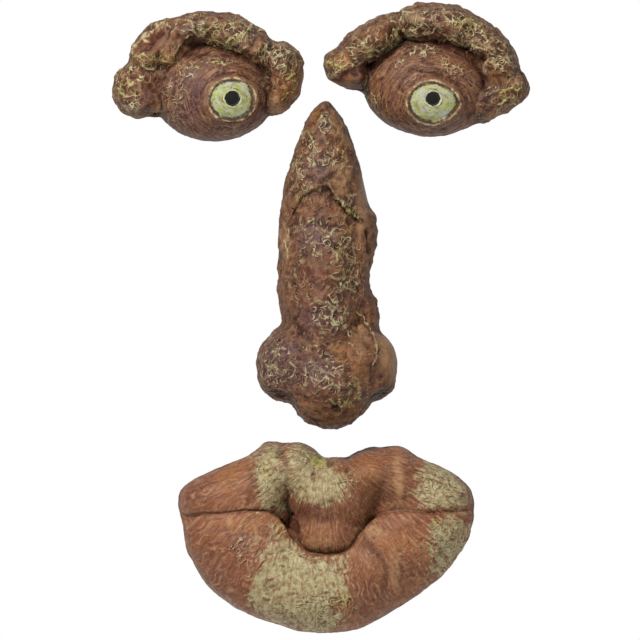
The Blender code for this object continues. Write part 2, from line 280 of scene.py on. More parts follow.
def broken(points, lines, seed):
    """Drawn lines that thin out to a third here and there, as a brush skips."""
    return lines * (0.3 + 0.7 * eased(layered_noise(points, SKIP_SIZE, seed), -0.4, 0.1))


def knobs_and_dents(x, z, ellipses):
    """Height in metres of soft knobs, or of dents where the strength in millimetres is negative."""
    return MM * sum(patch(x, z, *ellipse) for ellipse in ellipses)


def inside_outline(x, z, pixels):
    """Distance in from a closed outline, negative outside it."""
    line_x, line_z = on_object(pixels)
    odd = np.zeros(x.shape, dtype=bool)
    for start in range(len(line_x)):
        x0, z0 = line_x[start - 1], line_z[start - 1]
        x1, z1 = line_x[start], line_z[start]
        if z0 != z1:
            crosses = (z0 > z) != (z1 > z)
            odd ^= crosses & (x < (x1 - x0) * (z - z0) / (z1 - z0) + x0)
    distance = line_distance(x, z, list(pixels) + [pixels[0]])
    return np.where(odd, distance, -distance)


# %% [markdown]
# The clay skin of each casting is one square grid, bent twice. First its square rings become the
# circles of a disc, which keeps all its cells about the same size. Then the disc's spokes are drawn
# out to the casting's outline, and the rings are spaced evenly along the surface, not along the
# picture, so that steep sides get as many rings as flat fronts.

# %% A square grid bent over a casting
CELLS = 300
SPOKES = 960
SPOKE_SAMPLES = 400
RAY_SAMPLES = 1200
SPOKE_SMOOTHING = 3.0
OUTLINE_WOBBLE = 0.5 * MM
WOBBLE_SIZE = 7.0 * MM
EDGE_SLANT = 0.85
ROW_SPACING = 4.0
EDGE_CHUNK = 6000


def disc_grid(cells):
    """Ring and angle of each grid point: ring is the greater of |u| and |v|, angle runs round."""
    line = np.linspace(-1.0, 1.0, cells + 1)
    u, v = np.meshgrid(line, line, indexing="ij")
    ring = np.maximum(np.abs(u), np.abs(v))
    safe = np.where(ring > 0.0, ring, 1.0)
    sideways = np.abs(u) >= np.abs(v)
    quarter = np.pi / 4.0
    side = np.where(u >= 0.0, 0.0, np.pi) + quarter * v / np.where(u >= 0.0, safe, -safe)
    tall = np.where(v >= 0.0, 0.5, 1.5) * np.pi - quarter * u / np.where(v >= 0.0, safe, -safe)
    return ring, np.where(sideways, side, tall) % (2.0 * np.pi)


def around(values, sigma):
    """Values round a closed loop, smoothed with a bell curve of the given width in steps."""
    offsets = np.arange(len(values))
    offsets = np.minimum(offsets, len(values) - offsets)
    bell = np.exp(-0.5 * (offsets / sigma) ** 2)
    return np.fft.irfft(np.fft.rfft(values) * np.fft.rfft(bell / bell.sum()), n=len(values))


# %% [markdown]
# A spoke is a ray from the middle of a casting to its outline. The rings of an eye's first stretch
# follow its oval iris, so that the iris has a clean edge, and only then go over to the outline.

# %% Spokes from the middle to the outline
def spoke_directions(angles, stretch):
    """Unit directions, their up-and-down share drawn out to crowd spokes at a long piece's ends."""
    directions = np.stack([np.cos(angles), stretch * np.sin(angles)], axis=1)
    return directions / np.linalg.norm(directions, axis=1)[:, None]


def spoke_lengths(directions, casting):
    """Length of each spoke to the first place where the outline field turns negative."""
    reach = np.linspace(0.0, casting["longest"], RAY_SAMPLES)
    x = directions[:, :1] * reach
    z = casting["ray_centre"] + directions[:, 1:] * reach
    inside = casting["field"](x, z + casting["lift"](x))
    last = np.argmax(inside < 0.0, axis=1) - 1
    rows = np.arange(len(directions))
    near = inside[rows, last]
    far = inside[rows, last + 1]
    return reach[last] + (reach[1] - reach[0]) * near / (near - far)


def spoke_table(casting):
    """For each spoke, how far out each ring lies: equal lengths along the surface past the core."""
    angles = 2.0 * np.pi * np.arange(SPOKES) / SPOKES
    directions = spoke_directions(angles, casting["stretch"])
    lengths = around(spoke_lengths(directions, casting), SPOKE_SMOOTHING)
    ends = directions * lengths[:, None]
    wobble_at = np.stack([ends[:, 0], ends[:, 1], np.full(SPOKES, casting["seed"] * 0.01)], axis=1)
    lengths += OUTLINE_WOBBLE * layered_noise(wobble_at, WOBBLE_SIZE, casting["seed"])
    shares = np.linspace(0.0, 1.0, SPOKE_SAMPLES)
    reach = lengths[:, None] * shares
    x = directions[:, :1] * reach
    z = casting["ray_centre"] + directions[:, 1:] * reach
    z = z + casting["lift"](x)
    depth = casting["form"](x, z) + edge_depth(EDGE_SLANT * (lengths[:, None] - reach))
    steps = np.sqrt(np.diff(reach, axis=1) ** 2 + np.diff(depth, axis=1) ** 2)
    run = np.concatenate([np.zeros((SPOKES, 1)), np.cumsum(steps, axis=1)], axis=1)
    core_rings = casting["core_rings"]
    core = np.zeros(SPOKES)
    if core_rings:
        half_width, half_height = casting["core"]
        core = 1.0 / np.hypot(directions[:, 0] / half_width, directions[:, 1] / half_height)
    row = ROW_SPACING * np.arange(SPOKES)[:, None]
    reach_key = reach / casting["longest"] + row
    run_at_core = np.interp((core[:, None] / casting["longest"] + row).ravel(),
                            reach_key.ravel(), run.ravel())[:, None]
    outward = np.linspace(0.0, 1.0, CELLS // 2 - core_rings + 1)
    wanted = run_at_core + (run[:, -1:] - run_at_core) * outward
    outer = np.interp((wanted / casting["longest"] + row).ravel(),
                      (run / casting["longest"] + row).ravel(), reach.ravel())
    inner = core[:, None] * np.linspace(0.0, 1.0, core_rings + 1)[:-1]
    return directions, lengths, np.concatenate([inner, outer.reshape(SPOKES, -1)], axis=1)


def bent_grid(casting):
    """Places across and up of every grid point, and the casting's closed outline."""
    directions, lengths, table = spoke_table(casting)
    ring, angle = disc_grid(CELLS)
    number = np.rint(ring * (CELLS // 2)).astype(int)
    place = angle / (2.0 * np.pi) * SPOKES
    low = np.floor(place).astype(int) % SPOKES
    part = place - np.floor(place)
    reach = table[low, number] * (1.0 - part) + table[(low + 1) % SPOKES, number] * part
    way = spoke_directions(angle.ravel(), casting["stretch"]).reshape(angle.shape + (2,))
    x = way[..., 0] * reach
    z = casting["ray_centre"] + way[..., 1] * reach
    z = z + casting["lift"](x)
    edge_x = directions[:, 0] * lengths
    edge_z = casting["ray_centre"] + directions[:, 1] * lengths
    edge_z = edge_z + casting["lift"](edge_x)
    return x, z, np.stack([edge_x, edge_z], axis=1)


def distance_to_edge(x, z, edge, far):
    """Distance to the outline from each grid point, and never more than the given one."""
    flat_x, flat_z = x.ravel(), z.ravel()
    start = edge[::2]
    run = np.roll(start, -1, axis=0) - start
    squared = np.sum(run ** 2, axis=1)
    nearest = np.full(flat_x.shape, far)
    for first in range(0, len(flat_x), EDGE_CHUNK):
        part = slice(first, first + EDGE_CHUNK)
        from_x = flat_x[part, None] - start[:, 0]
        from_z = flat_z[part, None] - start[:, 1]
        along = np.clip((from_x * run[:, 0] + from_z * run[:, 1]) / squared, 0.0, 1.0)
        away = (from_x - along * run[:, 0]) ** 2 + (from_z - along * run[:, 1]) ** 2
        nearest[part] = np.minimum(far, np.sqrt(away.min(axis=1)))
    return nearest.reshape(x.shape)


outer_points = int(np.sum(disc_grid(CELLS)[0] == 1.0))
print("grid:", CELLS, "cells a side, outer ring of", outer_points, "points")

# %% [markdown]
# Carving happens along the surface's own direction, so ridges on a steep side stand out sideways.
# The hollow of a place is how far the average of its neighbourhood lies above it. The paint below
# reads this number to lay painted shade in the hollows. What the plain form had of it is taken off,
# so that the fine painted shade follows the carving alone.

# %% Directions and hollows
def grid_normals(points):
    """Unit direction out of the surface at each grid point: cross product of its two grid lines."""
    along_u = np.gradient(points, axis=0)
    along_v = np.gradient(points, axis=1)
    out = np.cross(along_v, along_u)
    out /= np.linalg.norm(out, axis=-1)[..., None] + 1e-12
    return -out if out[..., 1].mean() > 0.0 else out


def neighbourhood(values, reach):
    """Average over a square of grid points, worked out from running sums."""
    width = 2 * reach + 1
    for axis in (0, 1):
        pad = [(0, 0)] * values.ndim
        pad[axis] = (reach + 1, reach)
        sums = np.cumsum(np.pad(values, pad, mode="edge"), axis=axis)
        high = np.take(sums, range(width, sums.shape[axis]), axis=axis)
        low = np.take(sums, range(0, sums.shape[axis] - width), axis=axis)
        values = (high - low) / width
    return values


def hollow(points, normals, reach):
    """How far the neighbourhood's average stands above each point, in metres."""
    average = neighbourhood(neighbourhood(points, reach), reach)
    return np.sum((average - points) * normals, axis=-1)


# %% [markdown]
# The raised squiggles all over the bark are thin worms of resin. They lie where a soft noise passes
# through zero, which gives closed wandering loops, and a second noise cuts the loops into short
# arcs. The bark under them swells, folds and crumbles, and the main ridges are drawn one by one.

# %% Squiggles of raised bark
LOOP_THINNESS = 0.13
LUMP_SIZE = 5.0 * MM
CURL_SIZE = 2.6 * MM
CURL_REACH = 0.9 * MM
RIDGE_WIDTH = 0.9
RIDGE_HEIGHT = 0.85 * MM
CRUMB_HEIGHT = 0.16 * MM
GROOVE_WIDTH = 3.0


def squiggles(points, seed, size=5.0 * MM):
    """Raised arcs from 0 to 1: a bell curve of one noise about zero, cut by steps of another."""
    loops = np.exp(-(soft_noise(points, size, seed + 9) / LOOP_THINNESS) ** 2)
    return loops * eased(soft_noise(points, 0.8 * size, seed + 13), -0.25, 0.05)


def bark_fields(points, bent, seed, swell_size, fold_size, crumb_size):
    """Four fields of bark: swells, folds with sharp crests, lumps and a crumb, each finer."""
    swell = layered_noise(points, swell_size, seed + 31)
    fold = 1.0 - 2.0 * np.abs(soft_noise(bent, fold_size, seed + 33))
    lumps = layered_noise(bent, LUMP_SIZE, seed + 35, 2)
    return swell, fold, lumps, layered_noise(points, crumb_size, seed + 37)


def drawn_by_hand(points, bent, seed, ridges):
    """Ridges along drawn lines that curl to and fro by a millimetre and thin out here and there."""
    curled = wandering(bent, CURL_REACH, CURL_SIZE, seed + 4)
    return broken(points, strokes(curled[..., 0], curled[..., 2], RIDGE_WIDTH, ridges), seed + 43)


# %% [markdown]
# A finished skin is closed by its flat back. Each back has a moulded keyhole: the screw's head goes
# in at the round entry, and the casting drops so that the shank sits in the slot. Seen from its
# entry, the keyhole's edge is met once in each direction, so it is worked out by angle, as loops of
# points at three depths.

# %% Keyhole in a flat back
ENTRY_WIDTH = 10.0 * MM
SLOT_WIDTH = 5.5 * MM
POCKET_WIDTH = 11.5 * MM
KEYHOLE_RISE = 10.0 * MM
KEYHOLE_SKIN = 3.0 * MM
KEYHOLE_DEPTH = 8.0 * MM
KEYHOLE_POINTS = 96


def slot_loop(width, rise):
    """Edge of a round-ended slot that rises from the origin, as a distance for each angle."""
    angles = 2.0 * np.pi * np.arange(KEYHOLE_POINTS) / KEYHOLE_POINTS
    upward = np.sin(angles)
    sideways = np.abs(np.cos(angles))
    radius = width / 2.0
    to_side = radius / np.maximum(sideways, 1e-9)
    to_cap = rise * upward + np.sqrt(np.maximum(radius ** 2 - (rise * sideways) ** 2, 0.0))
    beyond_side = to_side * upward > rise
    reach = np.where(upward <= 0.0, radius, np.where(beyond_side, to_cap, to_side))
    return angles, reach


def keyhole_loops(seat_x, seat_z):
    """Four closed loops: the opening, outside and under the skin, then the pocket's two ends."""
    angles, slot = slot_loop(SLOT_WIDTH, KEYHOLE_RISE)
    _, pocket = slot_loop(POCKET_WIDTH, KEYHOLE_RISE)
    opening = np.maximum(slot, ENTRY_WIDTH / 2.0)
    loops = []
    for reach, depth in ((opening, 0.0), (opening, KEYHOLE_SKIN), (pocket, KEYHOLE_SKIN),
                         (pocket, KEYHOLE_DEPTH)):
        loops.append(np.stack([seat_x + reach * np.cos(angles), np.full(KEYHOLE_POINTS, -depth),
                               seat_z - KEYHOLE_RISE + reach * np.sin(angles)], axis=1))
    return loops


print("keyhole:", KEYHOLE_POINTS, "points a loop, pocket", POCKET_WIDTH / MM, "mm wide")

# %% [markdown]
# To close a casting, the grid's outer points and the keyhole's loops are joined: walls between the
# loops, a floor in the pocket, and a flat back from the rim to the opening.

# %% Close a casting
def grid_rim(cells):
    """Numbers of the grid's outer points, in order round it."""
    number = np.arange((cells + 1) ** 2).reshape(cells + 1, cells + 1)
    return np.concatenate([number[:-1, 0], number[-1, :-1], number[:0:-1, -1], number[0, :0:-1]])


def casting_mesh(name, points, keyhole, marks):
    """Skin of grid quads, a filled back with its keyhole, and the paint's marks as attributes."""
    cells = points.shape[0] - 1
    number = np.arange((cells + 1) ** 2).reshape(cells + 1, cells + 1)
    quads = np.stack([number[:-1, :-1], number[:-1, 1:], number[1:, 1:], number[1:, :-1]],
                     axis=-1).reshape(-1, 4)
    mesh = bpy.data.meshes.new(name)
    mesh.from_pydata(points.reshape(-1, 3).tolist(), [], quads.tolist())
    for mark, values in marks.items():
        kind, field = ("FLOAT_VECTOR", "vector") if values.ndim == 3 else ("FLOAT", "value")
        layer = mesh.attributes.new(mark, kind, "POINT")
        layer.data.foreach_set(field, values.astype(np.float32).ravel())

    skin = bmesh.new()
    skin.from_mesh(mesh)
    skin.verts.ensure_lookup_table()
    rim = [skin.verts[index] for index in grid_rim(cells)]
    rim_edges = [skin.edges.get(pair) for pair in zip(rim, rim[1:] + rim[:1])]
    loops = [[skin.verts.new(place) for place in loop] for loop in keyhole]
    behind = []
    for outer, inner in zip(loops[:-1], loops[1:]):
        for side in range(KEYHOLE_POINTS):
            after = (side + 1) % KEYHOLE_POINTS
            behind.append(skin.faces.new((outer[side], outer[after], inner[after], inner[side])))
    behind.append(skin.faces.new(loops[-1]))
    loop_edges = [skin.edges.get(pair) for loop in loops for pair in zip(loop, loop[1:] + loop[:1])]
    filled = bmesh.ops.triangle_fill(skin, edges=rim_edges + loop_edges[:KEYHOLE_POINTS],
                                     use_beauty=True)
    behind += [part for part in filled["geom"] if isinstance(part, bmesh.types.BMFace)]
    bmesh.ops.recalc_face_normals(skin, faces=skin.faces)
    for face in skin.faces:
        face.smooth = True
    for face in behind:
        face.material_index = 1
    for edge in rim_edges + loop_edges:
        edge.smooth = False
    skin.to_mesh(mesh)
    skin.free()
    return mesh


# %% [markdown]
# ## Eyes
# An eye is a ball in heavy lids, under a brow of rolled clay. Lids and brow are two heaps that meet
# in a tight crease. The iris is a shallow dish sunk into the eyeball, and the pupil a pit in it.
# The rings of brushwork run round it, so they are drawn as noise that is short across the rings and
# long round them.

# %% Lumps of the two eyes
EYE_DEPTH = 38.0 * MM
EYE_BLEND = 3.5 * MM
CREASE_BLEND = 2.1 * MM
CREASE_WIDTH = 2.0 * MM
CREASE_CUT = 0.8 * MM
LEFT_EYE_WIDTH = 107.0 * MM
RIGHT_EYE_WIDTH = 116.5 * MM
LEFT_EYE_MIDDLE = (-53.3 * MM, 93.0 * MM)
RIGHT_EYE_MIDDLE = (60.7 * MM, 93.0 * MM)
LEFT_IRIS = (12.7 * MM, 11.5 * MM)
RIGHT_IRIS = (14.3 * MM, 11.7 * MM)
LEFT_IRIS_BELOW = -0.2 * MM
RIGHT_IRIS_BELOW = -1.9 * MM
LEFT_PUPIL = (233.3, 99.3, 8.6)
RIGHT_PUPIL = (432.8, 99.8, 8.0)
IRIS_RINGS = 34

LEFT_LIDS = (
    ("lids", -10.0, 5.5, 32.5, 27.5, 0, 87, 2.0),
    ("eyeball", -1.0, 0.5, 21.0, 19.0, 0, 100, 2.0),
)
LEFT_BROW = (
    ("cheek lobe", -49.5, 5.0, 13.0, 14.5, 10, 58, 2.3),
    ("lobe web", -42.5, 0.0, 7.0, 7.0, 0, 55, 2.0),
    ("temple lobe", -42.0, 27.5, 10.0, 16.0, -35, 71, 2.1),
    ("inner roll", -29.5, 26.5, 7.5, 14.0, -42, 74, 2.2),
    ("left crown", -20.5, 37.5, 19.5, 8.0, 8, 85, 2.3),
    ("right crown", -1.5, 35.0, 17.0, 10.0, -12, 90, 2.2),
    ("crown end", 11.5, 28.0, 10.5, 9.0, -40, 90, 2.0),
    ("shoulder", 24.5, 21.0, 12.5, 9.5, -20, 77, 2.4),
    ("ear", 26.5, 10.5, 10.5, 12.5, 0, 71, 2.4),
    ("ear tip", 23.5, -0.5, 8.0, 7.0, 25, 58, 2.4),
)
RIGHT_LIDS = (
    ("lids", -1.5, 7.0, 32.5, 24.5, 0, 87, 2.0),
    ("eyeball", 0.0, 0.5, 20.5, 17.5, 0, 100, 2.0),
)
RIGHT_BROW = (
    ("inner lobe", -42.5, 16.5, 10.5, 9.0, 12, 61, 2.7),
    ("lobe web", -38.5, 13.0, 8.5, 7.5, -20, 58, 2.2),
    ("brow rise", -30.0, 28.5, 19.0, 9.0, 33, 84, 2.4),
    ("crown", -2.5, 37.5, 15.5, 9.5, 2, 94, 2.3),
    ("right crown", 11.0, 35.5, 14.5, 9.5, -20, 94, 2.2),
    ("brow fall", 26.0, 27.5, 15.5, 8.5, -42, 87, 2.3),
    ("temple", 32.0, 15.5, 9.5, 11.0, -10, 74, 2.3),
    ("ear", 30.0, 2.0, 17.5, 9.5, 28, 65, 2.8),
)


def lids_and_brow(x, z, lids, brow, unit):
    """Depths of the two heaps that an eye is made of."""
    carving = EYE_DEPTH - EDGE_THICKNESS
    return (heap_depth(x, z, lids, unit, carving, EYE_BLEND),
            heap_depth(x, z, brow, unit, carving, EYE_BLEND))


def eye_form(x, z, lids, brow, unit):
    """The two heaps with a tight crease between them, cut a little deeper where they meet."""
    lid_depth, brow_depth = lids_and_brow(x, z, lids, brow, unit)
    meeting = np.exp(-((lid_depth - brow_depth) / CREASE_WIDTH) ** 2)
    both = np.minimum(lid_depth, brow_depth)
    groove = CREASE_CUT * meeting * eased(both, 6.0 * MM, 14.0 * MM)
    return soft_maximum(np.array([lid_depth, brow_depth]), CREASE_BLEND) - groove


def level(x):
    """No lift: spokes are straight on every piece but the mouth."""
    return np.zeros_like(x)


def round_iris(half_width, half_height, corner_power):
    """Radius as a share of the iris's edge: an oval, its right end more or less of a corner."""
    def radius(x, z):
        power = np.where(x > 0.0, corner_power, 2.0)
        sum_of_powers = (np.abs(x) / half_width) ** power + (np.abs(z) / half_height) ** power
        return sum_of_powers ** (1.0 / power)
    return radius


def eye_casting(name, seed, middle, lids, brow, unit, iris, below, corner_power, pupil):
    """What the grid and the carving need to know of an eye, in the eye's own coordinates."""
    return {
        "name": name, "seed": seed, "middle": middle, "longest": unit, "ray_centre": below,
        "stretch": 1.0, "lift": level, "core": iris, "core_rings": IRIS_RINGS,
        "lids": lids, "brow": brow, "pupil": pupil, "iris_radius": round_iris(*iris, corner_power),
        "field": lambda x, z: outline_field(x, z, lids + brow, unit),
        "form": lambda x, z: eye_form(x, z, lids, brow, unit),
    }


LEFT_EYE = eye_casting("left_eye", 11, LEFT_EYE_MIDDLE, LEFT_LIDS, LEFT_BROW, LEFT_EYE_WIDTH,
                       LEFT_IRIS, LEFT_IRIS_BELOW, 2.0, LEFT_PUPIL)
RIGHT_EYE = eye_casting("right_eye", 23, RIGHT_EYE_MIDDLE, RIGHT_LIDS, RIGHT_BROW, RIGHT_EYE_WIDTH,
                        RIGHT_IRIS, RIGHT_IRIS_BELOW, 1.6, RIGHT_PUPIL)
print("eyes:", len(LEFT_BROW), "and", len(RIGHT_BROW), "lumps in the brows")

# %% [markdown]
# The carver's lines are read off the photograph: raised ridges, cut grooves, painted shade under
# overhangs, knobs and dents, and where the fine squiggles crowd together or leave the bark bare.

# %% Strokes on the left eye
LEFT_EYE_RIDGES = (
    ((135, 57), (144, 54), (151, 59), (161, 61), (173, 63), (176, 52)),
    ((178, 25), (172, 38), (161, 52)),
    ((134, 54), (135, 44), (142, 34), (152, 27), (163, 24), (170, 28)),
    ((176, 52), (182, 44), (188, 37)),
    ((190, 23), (193, 30), (197, 36)),
    ((202, 22), (204, 31), (212, 28)),
    ((207, 43), (215, 40), (224, 44), (231, 38)),
    ((230, 48), (240, 51), (249, 46)),
    ((262, 44), (268, 51), (274, 61), (281, 56), (280, 48)),
    ((250, 27), (246, 34), (238, 37)),
    ((127, 80), (131, 86), (137, 83)),
    ((120, 90), (125, 97), (134, 95)),
    ((141, 62), (146, 69), (153, 68)),
    ((288, 80), (293, 74)),
    ((283, 101), (288, 94), (293, 92)),
)
LEFT_EYE_GROOVES = (
    ((186, 42), (181, 52), (174, 62)),
    ((140, 52), (150, 51), (158, 44), (162, 34)),
    ((196, 20), (200, 29), (195, 38), (189, 46)),
    ((252, 24), (257, 34), (254, 46)),
    ((276, 40), (270, 50), (260, 58)),
)
LEFT_EYE_SHADES = (
    (4.5, ((270, 62), (268, 75), (269, 95), (267, 112))),
    (5.0, ((159, 70), (155, 86), (152, 102), (150, 112))),
    (3.0, ((212, 47), (226, 54), (240, 57), (256, 55))),
)
LEFT_EYE_RELIEF = (
    (150, 40, 13, 9, 38, -7.0), (241, 43, 8, 8, 0, 2.8), (222, 37, 9, 6, 0, 1.0),
    (196, 50, 14, 9, -10, -0.7), (171, 42, 4, 13, -30, 2.2), (303, 70, 4, 12, 0, 1.0),
    (136, 108, 8, 6, 0, 0.8), (286, 92, 8, 14, 10, -1.6), (212, 22, 16, 4, 0, 0.8),
    (157, 72, 6, 6, 0, 3.0), (155, 104, 5, 8, 0, 1.5),
)
LEFT_EYE_BARE = (
    (150, 40, 15, 11, 38, 1.0), (170, 40, 6, 10, -30, 0.5), (195, 50, 14, 9, -10, 0.7),
    (286, 100, 9, 10, 0, 0.4), (150, 98, 8, 14, 0, 0.4),
)
LEFT_EYE_DENSITY = (
    (222, 37, 24, 12, 0, 1.0), (196, 26, 16, 8, 10, 0.7), (240, 30, 18, 10, 0, 0.6),
    (278, 56, 20, 12, -20, 0.75), (130, 86, 16, 22, 0, 0.6), (160, 62, 18, 6, -10, 0.7),
    (290, 86, 10, 18, 0, 0.45), (218, 62, 16, 5, -5, 0.9), (152, 28, 14, 6, 30, 0.5),
    (189, 70, 9, 9, 0, 1.0), (176, 92, 12, 16, 0, 0.5), (176, 120, 14, 9, -30, 0.4),
    (240, 131, 24, 6, 0, 0.3), (262, 92, 5, 18, 0, 0.3),
)

# %% Strokes on the right eye
RIGHT_EYE_RIDGES = (
    ((329, 64), (334, 61), (340, 68), (347, 66)),
    ((347, 47), (355, 50), (366, 51), (377, 52)),
    ((392, 22), (399, 28), (395, 36)),
    ((402, 12), (410, 16), (418, 13)),
    ((412, 30), (420, 36), (430, 34), (436, 28)),
    ((445, 20), (455, 24), (468, 22), (480, 30)),
    ((440, 42), (452, 38), (464, 45), (476, 40)),
    ((466, 52), (476, 48), (486, 50)),
    ((490, 54), (498, 60), (506, 58), (512, 68)),
    ((500, 93), (508, 88), (518, 90)),
    ((498, 105), (506, 100), (514, 104)),
)
RIGHT_EYE_GROOVES = (
    ((397, 8), (401, 17), (411, 26), (425, 37)),
    ((454, 12), (461, 24), (474, 34), (488, 44)),
    ((352, 44), (348, 54), (356, 64), (366, 66)),
    ((488, 70), (500, 72), (512, 80)),
    ((401, 79), (408, 73), (419, 70), (436, 72), (448, 76), (458, 84)),
    ((405, 118), (420, 127), (440, 131), (458, 125), (470, 114)),
    ((474, 62), (483, 76), (488, 97), (483, 112), (476, 122)),
)
RIGHT_EYE_SHADES = (
    (7.0, ((357, 88), (363, 72), (374, 58), (395, 44), (423, 38), (442, 44), (465, 56), (481, 73),
           (487, 96), (480, 118))),
)
RIGHT_EYE_RELIEF = (
    (352, 74, 12, 5, 25, -1.6), (333, 64, 7, 6, 0, 1.0), (496, 82, 11, 7, 10, -1.0),
    (502, 58, 6, 6, 0, -0.6), (470, 24, 7, 4, -20, 1.2), (415, 20, 12, 5, 0, 1.0),
)
RIGHT_EYE_BARE = (
    (352, 76, 16, 7, 10, 0.9), (365, 62, 10, 5, 35, 0.3), (494, 78, 9, 6, 0, 0.7),
)
RIGHT_EYE_DENSITY = (
    (395, 38, 24, 9, 30, 1.0), (365, 52, 18, 9, 35, 0.9), (410, 18, 20, 8, 0, 0.8),
    (440, 20, 24, 9, -10, 0.9), (472, 34, 24, 12, -35, 1.0), (502, 60, 14, 14, -40, 1.0),
    (340, 68, 14, 9, 20, 0.8), (508, 92, 13, 12, 20, 0.8), (372, 102, 9, 18, 15, 0.7),
    (420, 51, 18, 6, 0, 0.7), (453, 68, 16, 7, -35, 0.9), (400, 62, 13, 6, 25, 0.5),
)


# %% [markdown]
# ## Nose
# The nose is a ridged shaft of bark that swells into a tip with two wings. A plate of bark lies
# over its upper half and ends in a torn, pointed edge. The shaft's spokes are stretched up and
# down, so that its long sides and its ends get cells of the same size.

# %% Lumps of the nose
NOSE_HEIGHT = 186.0 * MM
NOSE_DEPTH = 52.0 * MM
NOSE_BLEND = 5.5 * MM
BARK_STEP = 3.5 * MM
NOSE_LUMPS = (
    ("bridge", -0.4, 8.0, 14.2, 42.0, 0, 60, 1.55),
    ("shaft", -0.4, -7.5, 13.4, 19.0, 0, 67, 2.6),
    ("crest", 0.0, -16.5, 10.5, 29.5, 0, 82, 2.0),
    ("side flap", 12.0, 9.0, 3.5, 8.0, 0, 27, 2.2),
    ("left roll", -11.3, -8.0, 3.0, 6.5, 0, 36, 2.2),
    ("right roll", 12.0, -16.0, 4.0, 7.5, 0, 40, 2.2),
    ("tip", 1.4, -36.6, 13.1, 13.4, 0, 100, 2.0),
    ("left wing", -11.6, -31.4, 9.3, 10.7, 0, 67, 2.4),
    ("left cheek", -8.0, -28.5, 9.0, 11.0, 25, 80, 2.0),
    ("right wing", 12.2, -31.4, 9.5, 10.7, 0, 67, 2.4),
    ("right cheek", 8.6, -28.5, 8.6, 11.0, -25, 76, 2.0),
)
BARK_EDGE = ((278, 236), (284, 229), (290, 219), (296, 205), (303, 195), (311, 191), (322, 187),
             (327, 184), (333, 193), (338, 200), (345, 207), (354, 215), (364, 220), (372, 222))
NOSTRILS = ((277, 393, 8.0, 5.0), (378, 396, 9.0, 6.5))
NOSTRIL_DEPTH = 6.0 * MM


def below_bark_edge(x, z):
    """How far a place lies below the torn edge of the upper plate."""
    edge_x, edge_z = on_object(BARK_EDGE)
    return np.interp(x, edge_x, edge_z) - z


def inside_nose(x, z):
    """Positive inside the nose's outline."""
    return outline_field(x, z, NOSE_LUMPS, NOSE_HEIGHT)


def nose_form(x, z):
    """Blended lumps, lowered below the torn edge, with a pit for each nostril."""
    depth = heap_depth(x, z, NOSE_LUMPS, NOSE_HEIGHT, NOSE_DEPTH - EDGE_THICKNESS, NOSE_BLEND)
    inland = eased(inside_nose(x, z), 2.0 * MM, 9.0 * MM)
    step = BARK_STEP * eased(x, across(300), across(338), 0.45, 1.0)
    depth = depth - step * inland * eased(below_bark_edge(x, z), -0.4 * MM, 0.8 * MM)
    for nostril in NOSTRILS:
        pit = NOSTRIL_DEPTH * patch(x, z, *nostril)
        depth = depth - np.minimum(pit, 0.5 * np.maximum(depth, 0.0))
    return np.maximum(depth, 0.0)


NOSE_CASTING = {
    "name": "nose", "seed": 31, "middle": (0.0, 0.0), "longest": NOSE_HEIGHT,
    "ray_centre": -0.2 * NOSE_HEIGHT, "stretch": 2.3, "lift": level, "core_rings": 0,
    "field": inside_nose, "form": nose_form,
}
print("nose:", len(NOSE_LUMPS), "lumps,", NOSE_HEIGHT / MM, "mm high")

# %% Strokes on the nose
NOSE_RIDGES = (
    ((303, 137), (305, 132), (310, 132), (312, 138)),
    ((331, 118), (332, 125), (328, 131)),
    ((326, 152), (333, 156), (334, 150)),
    ((298, 163), (297, 171), (303, 177)),
    ((318, 152), (313, 158), (314, 166)),
    ((306, 190), (312, 188), (320, 190)),
    ((336, 171), (343, 166), (350, 168)),
    ((350, 197), (357, 193), (362, 190)),
    ((336, 197), (344, 205), (352, 212), (362, 221)),
    ((322, 232), (330, 236), (335, 229)),
    ((333, 250), (336, 260), (330, 266)),
    ((331, 275), (338, 280), (346, 277)),
    ((337, 290), (345, 286), (352, 292)),
    ((310, 306), (318, 300), (328, 303), (334, 309)),
    ((334, 309), (331, 318), (338, 325), (334, 333)),
    ((341, 318), (345, 330), (352, 340)),
    ((357, 310), (362, 317), (368, 324)),
    ((366, 322), (372, 333), (376, 347), (375, 360), (373, 368)),
    ((349, 344), (355, 348), (359, 355)),
    ((273, 352), (279, 348), (287, 350)),
    ((268, 372), (276, 366), (281, 374)),
    ((290, 362), (296, 368), (291, 378)),
    ((312, 377), (320, 381), (328, 378)),
    ((322, 388), (332, 385), (340, 388)),
    ((326, 402), (332, 401), (336, 405)),
    ((289, 230), (286, 243), (288, 256)),
)
NOSE_GROOVES = (
    ((336, 173), (329, 177), (322, 182), (319, 186)),
    ((338, 244), (335, 248), (333, 252)),
    ((297, 262), (291, 275), (296, 290)),
    ((300, 310), (294, 322), (300, 332)),
)
NOSE_SLIT = ((368, 231), (369, 242), (369, 252))
NOSE_RELIEF = (
    (357, 318, 4, 9, 0, -1.3), (318, 236, 12, 10, 0, 0.8), (338, 262, 5, 12, 15, 1.0),
    (303, 176, 6, 8, 0, 0.8), (280, 362, 8, 10, 0, 0.8), (300, 398, 14, 4, -20, -1.0),
)
NOSE_PIT = (336, 409, 4.0, 3.2)
NOSE_DENSITY = (
    (326, 122, 7, 13, 0, 0.7), (306, 140, 7, 10, 0, 0.9), (325, 156, 22, 12, 0, 0.45),
    (301, 178, 10, 22, 15, 0.8), (318, 236, 24, 18, 0, 0.5), (345, 262, 15, 30, 10, 0.8),
    (332, 314, 16, 20, -10, 1.0), (274, 362, 14, 24, 0, 0.7), (318, 372, 26, 18, 0, 0.65),
    (350, 392, 18, 16, 20, 0.6), (352, 208, 12, 8, -35, 1.0), (300, 280, 12, 24, 0, 0.25),
    (334, 384, 9, 6, 0, 1.0), (350, 284, 14, 10, 0, 0.7),
    (312, 345, 16, 10, 0, 0.3),
)
